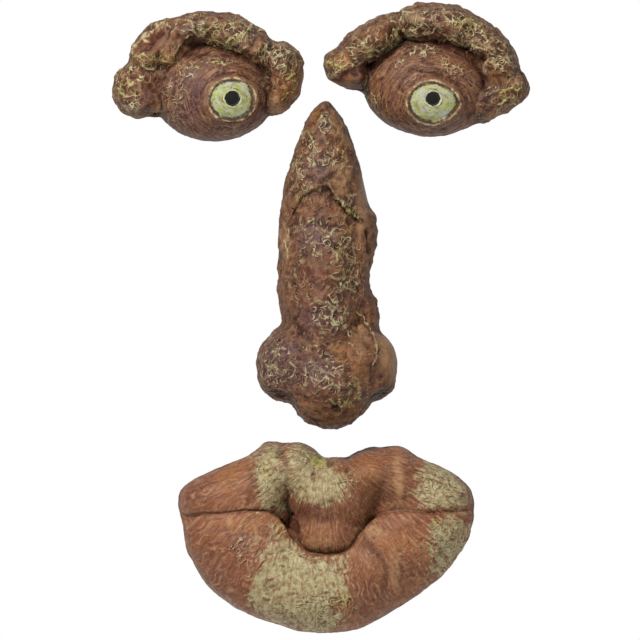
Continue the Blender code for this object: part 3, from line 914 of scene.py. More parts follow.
NOSE_SMOOTH = ((366, 190, 9, 46, -10), (388, 352, 10, 28, 10))
NOSTRIL_HOLLOWS = ((378, 397, 9, 4.5, 32, 0.95), (281, 394, 10, 3.0, -20, 0.7))
NOSE_SHADES = (
    (5.0, ((264, 388), (272, 393), (282, 397), (294, 402))),
    (7.0, ((366, 406), (374, 400), (382, 394), (388, 388))),
    (4.0, ((332, 176), (326, 181), (320, 186))),
)


# %% [markdown]
# ## Mouth
# Two lips roll in to the line between them. The line dips under the middle of the upper lip, and
# the grid's middle row is laid along it, so the cleft stays one clean edge of the mesh. The rows
# above it belong to the upper lip and the rows below it to the lower one.

# %% Lumps of the mouth
MOUTH_WIDTH = 166.0 * MM
MOUTH_DEPTH = 40.0 * MM
MOUTH_BLEND = 3.5 * MM
MOUTH_MIDDLE = (0.0, -154.446 * MM)
SEAM_FLOOR = 0.93
UPPER_LIP_ROLL = 3.0 * MM
LOWER_LIP_ROLL = 5.0 * MM
SEAM_LINE = ((180, 515), (188, 515), (206, 513.5), (229, 512), (250, 510), (277, 510.5),
             (326, 511.5), (379, 512), (406, 510), (431, 513.5), (466, 510), (474, 510))
SEAM_DIP = 0.145 * MOUTH_WIDTH
SEAM_DIP_HALF_WIDTH = 0.1325 * MOUTH_WIDTH
SEAM_DIP_SQUARENESS = 3.5
LIP_BRIDGES = (
    ("left bridge", -30.0, 8.4, 17.5, 9.0, 0, 66, 2.4),
    ("right bridge", 30.5, 8.4, 17.0, 9.0, 0, 68, 2.4),
)
UPPER_LIP = (
    ("left body", -27.3, 16.5, 23.0, 10.0, 21, 64, 3.0),
    ("left outer", -39.5, 13.3, 9.5, 6.0, 8, 55, 3.4),
    ("left fold", -19.5, 20.0, 7.5, 12.5, -8, 76, 2.1),
    ("left bow", -10.0, 23.0, 9.5, 9.0, -15, 79, 2.0),
    ("tubercle", 2.7, 14.7, 16.7, 12.3, 0, 100, 2.1),
    ("right bow", 15.0, 22.0, 10.0, 7.5, 4, 82, 2.0),
    ("right ridge", 24.5, 19.5, 8.0, 11.5, 8, 79, 2.1),
    ("right body", 28.5, 17.3, 20.5, 10.0, -20, 67, 2.8),
    ("right outer", 40.0, 13.0, 9.2, 5.8, -12, 58, 4.0),
    ("inner lip", 1.5, 1.5, 14.5, 11.5, 0, 76, 2.2),
    *LIP_BRIDGES,
)
LOWER_LIP = (
    *LIP_BRIDGES,
    ("lower left", -21.0, -7.0, 27.0, 20.0, -31, 88, 2.1),
    ("lower corner", -37.0, 0.0, 11.0, 9.0, 0, 61, 2.8),
    ("lower right", 23.0, -4.0, 30.5, 17.8, 38, 88, 2.2),
    ("lower middle", -0.7, -16.0, 26.3, 17.0, 0, 100, 2.1),
)


def seam_height(x):
    """Height of the line between the lips: nearly level, less a flat-bottomed dip in the middle."""
    line_x, line_z = on_object(SEAM_LINE)
    level_line = np.interp(x, line_x - MOUTH_MIDDLE[0], line_z - MOUTH_MIDDLE[1])
    dip = SEAM_DIP * np.exp(-(np.abs(x) / SEAM_DIP_HALF_WIDTH) ** SEAM_DIP_SQUARENESS)
    return level_line - dip


def above_seam(x, z):
    """Distance above the line between the lips, shortened where the line is steep."""
    tiny = 0.1 * MM
    slope = (seam_height(x + tiny) - seam_height(x - tiny)) / (2.0 * tiny)
    return (z - seam_height(x)) / np.sqrt(1.0 + slope ** 2)


def lip_roll(distance, roll):
    """Share of its full depth that a lip has at a distance from the seam."""
    rising = np.sqrt(1.0 - np.exp(-np.clip(distance, 0.0, None) / roll))
    return SEAM_FLOOR + (1.0 - SEAM_FLOOR) * rising


def mouth_form(x, z):
    """Each lip is its own heap, rolled in to the seam."""
    carving = MOUTH_DEPTH - EDGE_THICKNESS
    above = above_seam(x, z)
    upper = heap_depth(x, z, UPPER_LIP, MOUTH_WIDTH, carving, MOUTH_BLEND)
    lower = heap_depth(x, z, LOWER_LIP, MOUTH_WIDTH, carving, MOUTH_BLEND)
    return np.where(above > 0.0, upper * lip_roll(above, UPPER_LIP_ROLL),
                    lower * lip_roll(-above, LOWER_LIP_ROLL))


MOUTH_CASTING = {
    "name": "mouth", "seed": 47, "middle": MOUTH_MIDDLE, "longest": MOUTH_WIDTH, "ray_centre": 0.0,
    "stretch": 1.0, "lift": seam_height, "core_rings": 0, "form": mouth_form,
    "field": lambda x, z: outline_field(x, z, UPPER_LIP + LOWER_LIP, MOUTH_WIDTH),
}

print("mouth:", len(UPPER_LIP), "lumps in the upper lip and", len(LOWER_LIP), "in the lower")

# %% [markdown]
# The lips are painted in patches: a closed outline for each area of moss, small pits in it, and
# soft folds. Lichen and rubbed colours come later, with the tints.

# %% Strokes and patches on the mouth
MOUTH_GROOVES = (
    ((282, 452), (285, 462), (286, 478), (287, 498)),
    ((368, 545), (377, 551), (384, 562), (387, 574), (385, 590)),
)
MOUTH_SHADES = (
    (2.5, ((283, 450), (286, 465), (287, 500))),
    (4.0, ((250, 470), (252, 485), (248, 500))),
    (8.0, ((387, 470), (384, 484), (378, 498), (370, 508))),
    (5.0, ((289, 512), (294, 526), (300, 538))),
    (5.0, ((364, 541), (374, 549), (383, 562), (386, 578))),
)
MOUTH_RELIEF = (
    (294, 528, 4, 9, 0, -1.5), (399, 482, 5, 20, 5, 0.9), (395, 571, 5, 16, 0, 0.9),
    (373, 531, 9, 5, 0, 0.8),
)
MOUTH_DENSITY = (
    (250, 545, 18, 26, -30, 0.45), (320, 608, 40, 16, 0, 0.5), (265, 475, 14, 26, 0, 0.3),
    (440, 490, 26, 22, 0, 0.6), (446, 544, 18, 20, 0, 0.6), (350, 482, 12, 14, 0, 0.4),
    (216, 485, 22, 14, 0, 0.15), (420, 560, 20, 30, -30, 0.2), (308, 460, 20, 10, 0, 0.4),
)
MOUTH_PITS = (
    (281, 452, 3.0, 4.0), (304, 455, 3.5, 2.5), (314, 475, 2.5, 4.0), (454, 538, 4.0, 3.0),
    (441, 553, 3.0, 4.5), (330, 463, 3.0, 2.5), (347, 470, 3.5, 2.5), (336, 598, 5.0, 2.0),
)
MOSS_OUTLINES = (
    ((257, 450), (272, 442), (283, 444), (286, 462), (288, 480), (290, 510), (262, 510), (254, 488),
     (251, 468)),
    ((285, 446), (300, 441), (318, 450), (338, 466), (345, 485), (346, 504), (326, 506), (302, 502),
     (288, 494), (286, 475)),
    ((427, 460), (445, 462), (466, 476), (470, 486), (466, 508), (440, 509), (420, 506), (412, 490),
     (416, 472)),
    ((274, 526), (281, 524), (292, 540), (306, 552), (328, 558), (348, 556), (345, 578),
     (354, 592), (338, 604), (346, 622), (330, 633), (290, 630), (262, 618), (246, 606), (250, 580),
     (262, 552)),
    ((430, 519), (446, 516), (466, 514), (470, 530), (466, 546), (452, 562), (440, 575), (428, 566),
     (432, 548)),
)

# %% [markdown]
# ## Carving and marking
# Here the skins are cut. Each piece's function gives how far every grid point moves along its own
# direction, and the marks that the paint will follow: ridge for raised lines, groove for cut ones
# that get painted shade, shade for painted shade under overhangs and in creases, dense for how
# thick the squiggles lie, and brush for the way of brushing.

# %% Carve the eyes
RING_HEIGHT = 0.22 * MM
RING_LINE_HEIGHT = 0.16 * MM
LID_RIDGE_HEIGHT = 0.45 * MM
EYE_GROOVE_DEPTH = 0.8 * MM
IRIS_SUNK = 1.3 * MM
IRIS_DISHED = 0.8 * MM
PUPIL_SUNK = 1.1 * MM
RIM_RADIUS = 1.16
RIM_GROOVE_RADIUS = 1.38
RING_STRETCH = 0.4
RING_REACH = 24.0 * MM


def carve_eye(casting, x, z, points, ridges, grooves, shades, relief, density, bare):
    """Brow bark, rings round the iris, drawn ridges and grooves, and the marks for paint."""
    seed = casting["seed"]
    middle_x, middle_z = casting["middle"]
    lid_depth, brow_depth = lids_and_brow(x - middle_x, z - middle_z, casting["lids"],
                                          casting["brow"], casting["longest"])
    on_lids = eased(lid_depth - brow_depth, -1.0 * MM, 1.0 * MM)
    bark = 1.0 - on_lids
    below = casting["ray_centre"]
    iris_radius = casting["iris_radius"](x - middle_x, z - middle_z - below)
    out_of_iris = eased(iris_radius, 1.0, 1.12)
    pupil_x, pupil_y, pupil_size = casting["pupil"]
    pupil_radius = np.hypot(x - across(pupil_x), z - up(pupil_y)) / (pupil_size * PIXEL)

    bent = wandering(points, 0.7 * MM, 5.0 * MM, seed + 3)
    drawn_x, drawn_z = bent[..., 0], bent[..., 2]
    dense = 0.7 * patches(drawn_x, drawn_z, density) + 0.25 * bark + 0.1
    dense = np.clip(dense - patches(drawn_x, drawn_z, bare), 0.0, 1.0) * out_of_iris
    drawn = drawn_by_hand(points, bent, seed, ridges)
    worms = squiggles(points, seed) * dense
    ridge = np.maximum(drawn, 0.7 * worms) * out_of_iris
    groove = strokes(drawn_x, drawn_z, GROOVE_WIDTH, grooves) * out_of_iris

    share = RING_STRETCH / (iris_radius + 1e-6)
    ring_at = np.stack([share * (x - middle_x), RING_REACH * iris_radius,
                        share * (z - middle_z - below)], axis=-1)
    ring_at = ring_at + 1.6 * MM * soft_noise(points, 9.0 * MM, seed + 19)[..., None]
    rings = layered_noise(ring_at, 2.2 * MM, seed + 21)
    lines = np.exp(-(soft_noise(ring_at, 3.4 * MM, seed + 27) / 0.1) ** 2)
    swell, fold, lumps, crumb = bark_fields(points, bent, seed, 13.0 * MM, 8.0 * MM, 2.2 * MM)

    height = 1.1 * MM * swell * (0.35 + 0.9 * bark)
    height += (0.6 * MM * fold + 0.7 * MM * lumps) * bark + 0.2 * MM * lumps * on_lids
    height += CRUMB_HEIGHT * crumb * (0.35 + 0.65 * bark)
    height += (RIDGE_HEIGHT * bark + LID_RIDGE_HEIGHT * on_lids) * ridge
    height += (RING_HEIGHT * rings + RING_LINE_HEIGHT * lines) * on_lids
    height += 0.4 * MM * np.exp(-((iris_radius - RIM_RADIUS) / 0.09) ** 2) * on_lids
    height -= 0.15 * MM * np.exp(-((iris_radius - RIM_GROOVE_RADIUS) / 0.06) ** 2) * on_lids
    height *= out_of_iris
    height += knobs_and_dents(x, z, relief) - EYE_GROOVE_DEPTH * groove
    height += 0.12 * MM * rings * (1.0 - out_of_iris)
    sunk = np.where(iris_radius < 1.0, IRIS_SUNK + IRIS_DISHED * (1.0 - iris_radius ** 2), 0.0)
    sunk += PUPIL_SUNK * eased(1.0 - pupil_radius, -0.05, 0.12)
    # groove and shade: painted shade in the cut grooves, under the brow and in creases.
    marks = {
        "ridge": np.maximum(drawn, 0.5 * worms) * out_of_iris,
        "dense": dense,
        "iris": iris_radius,
        "pupil": pupil_radius,
        "brush": ring_at,
        "lids": on_lids,
        "lines": lines * on_lids * out_of_iris,
        "groove": 0.5 * groove,
        "shade": shade_strokes(drawn_x, drawn_z, shades) * out_of_iris,
    }
    return height - sunk, marks


# %% Carve the nose
NOSE_GROOVE_WIDTH = 2.4
SLIT_WIDTH = 2.6
NOSE_GROOVE_DEPTH = 1.2 * MM
SLIT_DEPTH = 3.0 * MM
PIT_DEPTH = 3.5 * MM
NOSTRIL_HOLLOW_DEPTH = 1.5 * MM
TORN_LIP_HEIGHT = 0.9 * MM
TORN_UNDERCUT = 1.5 * MM


def carve_nose(casting, x, z, points):
    """Bark all over, ridges, the torn edge, the slit by the flap, the nostrils and a pit."""
    seed = casting["seed"]
    bent = wandering(points, 0.8 * MM, 5.0 * MM, seed + 3)
    drawn_x, drawn_z = bent[..., 0], bent[..., 2]
    smooth = patches(x, z, NOSE_SMOOTH)
    dense = 0.7 * patches(drawn_x, drawn_z, NOSE_DENSITY) + 0.25
    dense = np.clip(dense, 0.0, 1.0) * (1.0 - 0.85 * smooth)
    drawn = drawn_by_hand(points, bent, seed, NOSE_RIDGES)
    worms = squiggles(points, seed) * dense
    ridge = np.maximum(drawn, 0.7 * worms)
    groove = strokes(drawn_x, drawn_z, NOSE_GROOVE_WIDTH, NOSE_GROOVES)
    slit = stroke(x, z, SLIT_WIDTH, *NOSE_SLIT)
    pit = patch(x, z, *NOSE_PIT)
    below = below_bark_edge(drawn_x, drawn_z)
    on_plate = eased(inside_nose(x, z), 2.0 * MM, 8.0 * MM)
    lip = np.exp(-((below + 0.9 * MM) / (1.1 * MM)) ** 2) * on_plate
    under = np.exp(-((below - 1.3 * MM) / (1.4 * MM)) ** 2) * on_plate
    right_arm = eased(x, across(322), across(336), 0.1, 0.6)
    nostrils = patches(drawn_x, drawn_z, NOSTRIL_HOLLOWS)

    swell, fold, lumps, crumb = bark_fields(points, bent, seed, 12.0 * MM, 7.5 * MM, 2.4 * MM)
    height = 1.3 * MM * swell * (1.0 - 0.5 * smooth)
    height += (0.5 * MM * fold + 0.55 * MM * lumps) * (1.0 - 0.9 * smooth)
    height += CRUMB_HEIGHT * crumb * (1.0 - 0.6 * smooth)
    height += RIDGE_HEIGHT * ridge + knobs_and_dents(x, z, NOSE_RELIEF)
    height += TORN_LIP_HEIGHT * lip - TORN_UNDERCUT * right_arm * under
    height -= NOSE_GROOVE_DEPTH * groove + SLIT_DEPTH * slit + PIT_DEPTH * pit
    height -= NOSTRIL_HOLLOW_DEPTH * nostrils
    # groove: painted shade in the cut grooves, the slit, the pit, under the torn edge's right arm
    # and in the nostrils; shade: painted shade under the nostrils and along a crack.
    marks = {
        "ridge": np.maximum(drawn, 0.5 * worms),
        "dense": dense,
        "groove": np.clip(0.5 * groove + slit + pit + right_arm * under + nostrils, 0.0, 1.0),
        "shade": shade_strokes(drawn_x, drawn_z, NOSE_SHADES),
    }
    return height, marks


# %% Carve the mouth
FAN_RISE = 50.0 * MM
FAN_REACH = 70.0 * MM
FAN_STRETCH = 0.2
SEAM_WIDTH = 0.7 * MM
BRUSH_HEIGHT = 0.26 * MM
MOSS_HEIGHT = 0.15 * MM
LIP_SQUIGGLE_SIZE = 4.6 * MM
LIP_SQUIGGLE_HEIGHT = 0.45 * MM
LIP_GROOVE_DEPTH = 0.35 * MM
SEAM_CUT = 0.5 * MM
LIP_PIT_DEPTH = 0.9 * MM
MOSS_HOLE_DEPTH = 0.5 * MM


def carve_mouth(casting, x, z, points):
    """Brushed lips: strokes that fan out from above the mouth, folds, pits and raised paint."""
    seed = casting["seed"]
    middle_x, middle_z = casting["middle"]
    bent = wandering(points, 1.2 * MM, 6.0 * MM, seed + 3)
    drawn_x, drawn_z = bent[..., 0], bent[..., 2]
    groove = strokes(drawn_x, drawn_z, GROOVE_WIDTH, MOUTH_GROOVES)
    seam = np.exp(-(above_seam(x - middle_x, z - middle_z) / SEAM_WIDTH) ** 2)
    pits = patches(drawn_x, drawn_z, MOUTH_PITS)
    dense = np.clip(patches(drawn_x, drawn_z, MOUTH_DENSITY) + 0.08, 0.0, 1.0)

    fan = np.arctan2(x - middle_x, middle_z + FAN_RISE - z)
    away = np.hypot(x - middle_x, middle_z + FAN_RISE - z)
    fan_at = np.stack([FAN_REACH * np.cos(fan), FAN_STRETCH * away, FAN_REACH * np.sin(fan)],
                      axis=-1)
    fan_at = fan_at + 2.5 * MM * soft_noise(points, 9.0 * MM, seed + 9)[..., None]
    brushed = layered_noise(fan_at, 1.8 * MM, seed + 11)
    moss = np.zeros(x.shape)
    ragged = 4.0 * MM * layered_noise(points, 9.0 * MM, seed + 5) + 2.5 * MM * brushed
    for outline in MOSS_OUTLINES:
        inland = inside_outline(drawn_x, drawn_z, outline)
        moss = np.maximum(moss, eased(inland + ragged, -5.0 * MM, 5.5 * MM))
    holes_at = bent * np.array([0.6, 1.0, 1.5])
    holes = eased(soft_noise(holes_at, 2.6 * MM, seed + 7), 0.45, 0.7) * eased(moss, 0.3, 0.8)

    worms = squiggles(bent, seed, LIP_SQUIGGLE_SIZE)
    swell = layered_noise(points, 16.0 * MM, seed + 31)
    crumb = layered_noise(points, 2.2 * MM, seed + 37)

    height = 1.1 * MM * swell
    height += 0.2 * MM * crumb + BRUSH_HEIGHT * brushed
    height += LIP_SQUIGGLE_HEIGHT * worms * dense + MOSS_HEIGHT * moss
    height += knobs_and_dents(x, z, MOUTH_RELIEF)
    height -= LIP_GROOVE_DEPTH * groove + SEAM_CUT * seam
    height -= LIP_PIT_DEPTH * pits + MOSS_HOLE_DEPTH * holes
    # groove: painted shade in the cut folds, along the seam and in the pits and moss holes; shade:
    # painted shade in the valleys between the lips' lumps.
    marks = {
        "ridge": worms * dense,
        "dense": dense,
        "brushed": np.clip(0.5 + brushed, 0.0, 1.0),
        "moss": moss,
        "brush": fan_at,
        "groove": np.clip(0.15 * groove + 0.12 * seam + 0.6 * pits + 0.7 * holes, 0.0, 1.0),
        "shade": 0.45 * shade_strokes(x, z, MOUTH_SHADES),
    }
    return height, marks


# %% [markdown]
# The painter rubs colours into broad areas before the painted shade and the dry brush. Each tint's
# areas are soft ellipses, in pixels of the photograph: middle, half sizes, turn and strength.
# Where a plum or red area lies in a valley, a pocket or under a brow, it is also painted shade.

# %% Tints laid on in broad areas
LEFT_EYE_TINTS = {
    "plum": ((189, 96, 14, 28, 0, 1.0), (168, 96, 10, 18, 0, 0.6), (222, 128, 22, 8, 0, 0.5),
             (196, 44, 14, 6, 0, 0.9), (205, 30, 20, 8, 10, 0.5), (166, 36, 8, 12, -30, 0.4),
             (238, 36, 20, 9, -10, 0.8), (132, 106, 13, 8, 0, 0.7), (287, 50, 10, 8, 0, 0.5)),
    "orange": ((286, 96, 12, 18, 0, 0.9), (301, 76, 4, 18, 0, 0.8), (172, 60, 12, 10, 0, 0.7),
               (200, 48, 22, 7, 0, 0.6), (146, 60, 10, 5, 0, 0.6), (255, 54, 10, 8, 0, 0.6)),
    "beige": ((163, 109, 7, 9, 0, 0.9), (277, 108, 9, 8, 0, 0.7), (258, 48, 6, 6, 0, 0.5)),
    "red": ((150, 40, 14, 10, 38, 1.0), (273, 80, 6, 18, 0, 0.6), (125, 104, 12, 8, 0, 0.3)),
    "lichen": ((222, 36, 22, 12, 0, 0.9), (290, 86, 12, 16, 0, 0.8), (130, 88, 14, 12, 0, 0.6),
               (205, 66, 22, 6, 0, 0.9), (163, 60, 18, 7, 0, 0.8), (150, 50, 20, 10, 0, 0.5)),
}
RIGHT_EYE_TINTS = {
    "plum": ((362, 78, 8, 14, -30, 0.9), (395, 46, 20, 4, 20, 0.9), (420, 50, 14, 5, 0, 0.5),
             (440, 14, 22, 8, 0, 0.4), (484, 96, 5, 22, 0, 0.8), (375, 62, 8, 10, -40, 0.8)),
    "orange": ((345, 60, 8, 9, 0, 0.8), (383, 90, 12, 12, 0, 0.6), (450, 66, 18, 10, -30, 0.5),
               (497, 80, 10, 7, 0, 0.6)),
    "beige": ((470, 84, 5, 10, 0, 0.4), (515, 82, 8, 8, 0, 0.7), (494, 116, 10, 6, 20, 0.6)),
    "red": ((350, 75, 16, 7, 0, 0.6), (430, 84, 40, 10, 0, 0.35), (455, 120, 20, 8, 30, 0.4)),
    "lichen": ((340, 64, 12, 8, 0, 0.9), (510, 94, 12, 12, 0, 0.9), (370, 106, 10, 16, 30, 0.8),
               (468, 24, 14, 8, 0, 0.7), (380, 44, 30, 10, 30, 0.6)),
}
NOSE_TINTS = {
    "plum": ((326, 121, 6, 12, 0, 0.9), (318, 170, 16, 15, 0, 0.9), (318, 236, 22, 20, 0, 0.9),
             (318, 318, 22, 16, 0, 0.9), (280, 362, 24, 26, 0, 1.0), (320, 370, 22, 18, 0, 1.0),
             (355, 205, 8, 12, -30, 0.6), (345, 276, 8, 20, 0, 0.3)),
    "orange": ((313, 115, 5, 14, 0, 0.9), (345, 146, 9, 8, 0, 0.8), (340, 352, 12, 8, 0, 0.9),
               (358, 318, 5, 9, 0, 1.0), (360, 376, 8, 16, 0, 0.7), (296, 400, 22, 8, -20, 0.5),
               (300, 205, 8, 12, 0, 0.4), (345, 225, 12, 10, 0, 0.5)),
    "beige": ((366, 190, 8, 46, -10, 1.0), (340, 180, 12, 13, 0, 0.8), (285, 242, 4, 20, 0, 0.9),
              (388, 352, 12, 28, 10, 1.0), (340, 130, 6, 18, 20, 0.8), (360, 342, 6, 18, 0, 0.5)),
    "red": ((385, 372, 10, 16, 0, 0.6), (300, 395, 20, 8, -20, 0.5), (312, 285, 20, 22, 0, 0.4)),
    "lichen": ((300, 199, 6, 9, 20, 1.0), (352, 211, 9, 5, -35, 1.0), (358, 354, 6, 5, 0, 1.0),
               (351, 404, 12, 12, 0, 1.0), (342, 262, 12, 18, 0, 0.45), (296, 165, 8, 18, 0, 0.35)),
}
MOUTH_TINTS = {
    "plum": ((193, 492, 10, 12, 0, 0.8), (314, 512, 20, 12, 10, 0.7), (239, 541, 14, 12, 0, 0.9),
             (385, 490, 5, 18, 10, 0.8), (370, 598, 18, 16, 30, 0.8), (212, 576, 22, 24, -40, 0.6),
             (356, 496, 12, 10, 0, 0.5)),
    "orange": ((232, 474, 14, 16, 0, 0.8), (240, 522, 26, 8, 0, 0.7), (365, 475, 16, 16, 0, 0.7),
               (320, 541, 14, 6, 0, 0.8), (405, 540, 26, 14, 0, 0.5)),
    "beige": ((399, 482, 6, 26, 0, 0.9), (373, 531, 10, 7, 0, 1.0), (395, 571, 5, 20, 0, 0.7),
              (320, 543, 12, 6, 0, 0.6), (455, 515, 10, 4, 0, 0.6)),
    "red": ((294, 528, 6, 14, 0, 0.9), (382, 500, 6, 14, 0, 0.8), (372, 585, 12, 14, 0, 0.7),
            (226, 566, 30, 28, -40, 0.5), (200, 536, 14, 16, 0, 0.5), (356, 474, 14, 16, 0, 0.4)),
    "lichen": ((320, 461, 9, 6, -20, 1.0), (345, 602, 14, 8, 0, 0.9), (437, 519, 7, 5, 0, 0.9),
               (268, 470, 8, 16, 0, 0.4), (280, 530, 6, 5, 0, 0.7)),
}


# %% [markdown]
# All four skins are finished the same way: bend the grid, add the depth of the lumps and of the
# rounded edge, carve, measure the hollows and close the back. The carving fades out where the skin
# meets the back, so that the back stays flat and its edge stays where the solid has it.

# %% Finish a casting
CARVING_FADE = 5.0 * MM
SMALL_HOLLOW = 3
LARGE_HOLLOW = 10
FINE_HOLLOW_DEPTH = 0.3 * MM
BROAD_HOLLOW_DEPTH = 1.4 * MM
CLEAR_OF_BACK = 0.05 * MM
LEFT_EYE_KEYHOLE = (-64.9 * MM, 120.8 * MM)
RIGHT_EYE_KEYHOLE = (60.0 * MM, 122.1 * MM)
NOSE_KEYHOLE = (0.0, 40.9 * MM)
MOUTH_KEYHOLE = (0.2 * MM, -127.1 * MM)


def finish_casting(casting, carve, tints, keyhole_seat):
    """From outline to closed mesh, with every mark that the paint reads."""
    middle_x, middle_z = casting["middle"]
    local_x, local_z, edge = bent_grid(casting)
    inland = distance_to_edge(local_x, local_z, edge, 2.0 * EDGE_ROUNDING)
    depth = casting["form"](local_x, local_z) + edge_depth(inland)
    ring, _ = disc_grid(CELLS)
    depth[ring == 1.0] = 0.0
    x = local_x + middle_x
    z = local_z + middle_z
    points = np.stack([x, -depth, z], axis=-1)
    normals = grid_normals(points)
    height, marks = carve(casting, x, z, points)
    fade = eased(depth, 0.0, CARVING_FADE)
    hollow_before = hollow(points, normals, SMALL_HOLLOW)
    points = points + normals * (height * fade)[..., None]
    points[..., 1] = np.minimum(points[..., 1], -CLEAR_OF_BACK)
    points[..., 1][ring == 1.0] = 0.0

    normals = grid_normals(points)
    fine = hollow(points, normals, SMALL_HOLLOW) - hollow_before
    broad = hollow(points, normals, LARGE_HOLLOW)
    # The paint reads these three marks to lay painted shade in fine cracks, in broad coves and on
    # the sides that turn away near the back; hollow also guides the dry brush on what stands proud.
    marks["hollow"] = np.clip(fine / FINE_HOLLOW_DEPTH, -1.0, 1.0) * fade
    marks["cove_shade"] = np.clip(broad / BROAD_HOLLOW_DEPTH, -1.0, 1.0) * fade
    marks["side"] = 1.0 - eased(-points[..., 1], 1.0 * MM, 8.0 * MM)
    wobbled = wandering(points, 2.4 * MM, 6.0 * MM, casting["seed"] + 61)
    for tint, ellipses in tints.items():
        marks[tint] = patches(wobbled[..., 0], wobbled[..., 2], ellipses)
    mesh = casting_mesh(casting["name"], points, keyhole_loops(*keyhole_seat), marks)
    piece = bpy.data.objects.new(casting["name"] + "_casting", mesh)
    bpy.context.scene.collection.objects.link(piece)
    triangles = sum(len(polygon.vertices) - 2 for polygon in mesh.polygons)
    deepest = round(-points[..., 1].min() / MM, 1)
    print(casting["name"], "triangles", triangles, "deepest", deepest, "mm")
    return piece


LEFT_EYE_STROKES = (LEFT_EYE_RIDGES, LEFT_EYE_GROOVES, LEFT_EYE_SHADES, LEFT_EYE_RELIEF,
                    LEFT_EYE_DENSITY, LEFT_EYE_BARE)
RIGHT_EYE_STROKES = (RIGHT_EYE_RIDGES, RIGHT_EYE_GROOVES, RIGHT_EYE_SHADES, RIGHT_EYE_RELIEF,
                     RIGHT_EYE_DENSITY, RIGHT_EYE_BARE)
left_eye = finish_casting(LEFT_EYE, lambda *place: carve_eye(*place, *LEFT_EYE_STROKES),
                          LEFT_EYE_TINTS, LEFT_EYE_KEYHOLE)
right_eye = finish_casting(RIGHT_EYE, lambda *place: carve_eye(*place, *RIGHT_EYE_STROKES),
                           RIGHT_EYE_TINTS, RIGHT_EYE_KEYHOLE)
nose = finish_casting(NOSE_CASTING, carve_nose, NOSE_TINTS, NOSE_KEYHOLE)
mouth = finish_casting(MOUTH_CASTING, carve_mouth, MOUTH_TINTS, MOUTH_KEYHOLE)


# %% [markdown]
# ## Paint
# The factory sprays the castings red-brown and rubs purple-brown and orange into areas. Painted
# shade then darkens the hollows, the cuts, the sides and a line under each curl, and a nearly dry
# brush of pale yellow-green goes over what stands proud.
# Each step is one mix in the material, in that order, steered by the marks on the mesh and by noise
# in object space for the grain that is finer than the mesh.

# %% Node helpers
LIGHT_ON_PAINT = 3.0


def screen(red, green, blue, light=LIGHT_ON_PAINT):
    """A colour read off the photograph as the paint's own colour, without the light on it."""
    values = []
    for value in (red, green, blue):
        share = value / 255.0
        linear = share / 12.92 if share <= 0.04045 else ((share + 0.055) / 1.055) ** 2.4
        values.append(linear / light)
    return (*values, 1.0)


